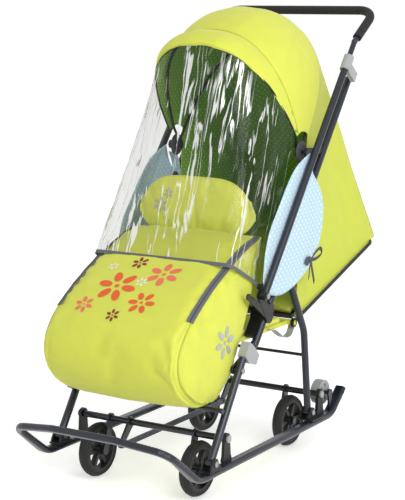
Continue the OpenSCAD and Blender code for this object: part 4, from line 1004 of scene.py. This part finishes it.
# seat and back pads; foot is where the slope starts, up and off lead to the middle of the underside
pad = {"steps": 36, "thick": 0.024, "flatShare": 0.55, "drawSides": 0.04, "drawEnds": 0.02,
       "channel": 0.0035, "channelAt": 0.36, "channelHalf": 0.03, "channelEase": 3, "fill": 0.6}
seat = {"width": 0.334, "length": 0.235, "foot": (-0.0365, 0.3563), "up": 0.0, "off": 0.0, "slope": 0.0}
backrest = {"width": 0.320, "length": 0.439, "foot": (0.118, 0.352), "up": 0.2515, "off": 0.0053,
            "slope": 18.0}


def makePad(name, node, body, place):
    n = pad["steps"]
    low, high = [], []
    for i in range(n + 1):
        for j in range(n + 1):
            u, v = 2 * i / n - 1, 2 * j / n - 1
            draw = 1 - pad["drawSides"] * (1 - u * u) * abs(v) - pad["drawEnds"] * (1 - v * v) * abs(u)
            crown = (1 - abs(u) ** 3) * (1 - abs(v) ** 3)
            groove = max(0, 1 - abs(abs(u) - pad["channelAt"]) / pad["channelHalf"])
            groove *= min(1, crown * pad["channelEase"])
            full = pad["flatShare"] + (1 - pad["flatShare"]) * crown
            rise = pad["thick"] * full - pad["channel"] * groove
            x, y = place["width"] / 2 * u * draw, place["length"] / 2 * v * draw
            high.append((x, y, rise))
            low.append((x, y, 0.0))
    c, s = math.cos(math.radians(place["slope"])), math.sin(math.radians(place["slope"]))
    baseY = place["foot"][0] + place["up"] * c - place["off"] * s + shift
    baseZ = place["foot"][1] + place["up"] * s + place["off"] * c
    verts = [(x, baseY + y * c - z * s, baseZ + y * s + z * c) for x, y, z in high + low]
    m = n + 1
    faces = gridFaces(m, m, 0) + gridFaces(m, m, m * m, True)
    flat = gridBorder(m, m)
    for k, a in enumerate(flat):
        b = flat[(k + 1) % len(flat)]
        faces.append((a, a + m * m, b + m * m, b))
    # the pads in the lighter lime: painted light in the shade of the seat
    obj = newMesh(name, verts, faces, [paint["limePale"]], [(p[0], p[1]) for p in high + low])
    finishPiece(obj, body, "lime_pad", node)


makePad("seat_cushion", "seat_pad", "upper_frame", seat)
makePad("back_cushion", "backrest_pad", "backrest", backrest)
print("stage: wings and pads")

# straps under the seat, and the ribbon bows at the wings
strap = {"path": [(0.1715, 0.006, 0.353), (0.1745, 0.034, 0.346), (0.178, 0.060, 0.328),
                  (0.178, 0.085, 0.319), (0.178, 0.106, 0.322), (0.177, 0.120, 0.334), (0.176, 0.128, 0.346)],
         "steps": 8, "width": 0.018, "thick": 0.0014}
bow = {"knot": (0.2200, 0.142, 0.512), "across": (0.0, 0.55, 0.83), "steps": 8, "width": 0.010,
       "thick": 0.0012,
       "ends": {"loop_a": [(0, 0, 0), (0.003, 0.020, 0.016), (0.003, 0.046, 0.024), (0.005, 0.050, 0.012),
                           (0.004, 0.024, 0.002), (0, 0, 0)],
                "loop_b": [(0, 0, 0), (0.003, -0.016, 0.008), (0.004, -0.034, 0.004), (0.005, -0.022, -0.006),
                           (0, 0, 0)],
                "tail_a": [(0, 0, 0), (0.001, 0.008, -0.026), (0.001, 0.020, -0.060)],
                "tail_b": [(0, 0, 0), (0.001, -0.006, -0.024), (0.001, -0.010, -0.046)]}}


def makeTies(side, label):
    points = [(side * x, y + shift, z) for x, y, z in spline(strap["path"], strap["steps"])]
    obj = ribbon("recline_strap_" + label, points, [(side * 1.0, 0.0, 0.0)] * len(points), strap["width"],
                 strap["thick"], paint["grey"])
    finishPiece(obj, "upper_frame", "lime_fabric")
    kx, ky, kz = bow["knot"]
    for name, ends in bow["ends"].items():
        path = [(side * kx + side * x, ky + shift + y, kz + z) for x, y, z in spline(ends, bow["steps"])]
        across = [bow["across"]] * len(path)
        piece = ribbon("tie_%s_%s" % (name, label), path, across, bow["width"], bow["thick"], paint["tie"])
        finishPiece(piece, "upper_frame", "lime_fabric")


for side, label in bothSides:
    makeTies(side, label)
print("stage: straps and ties")
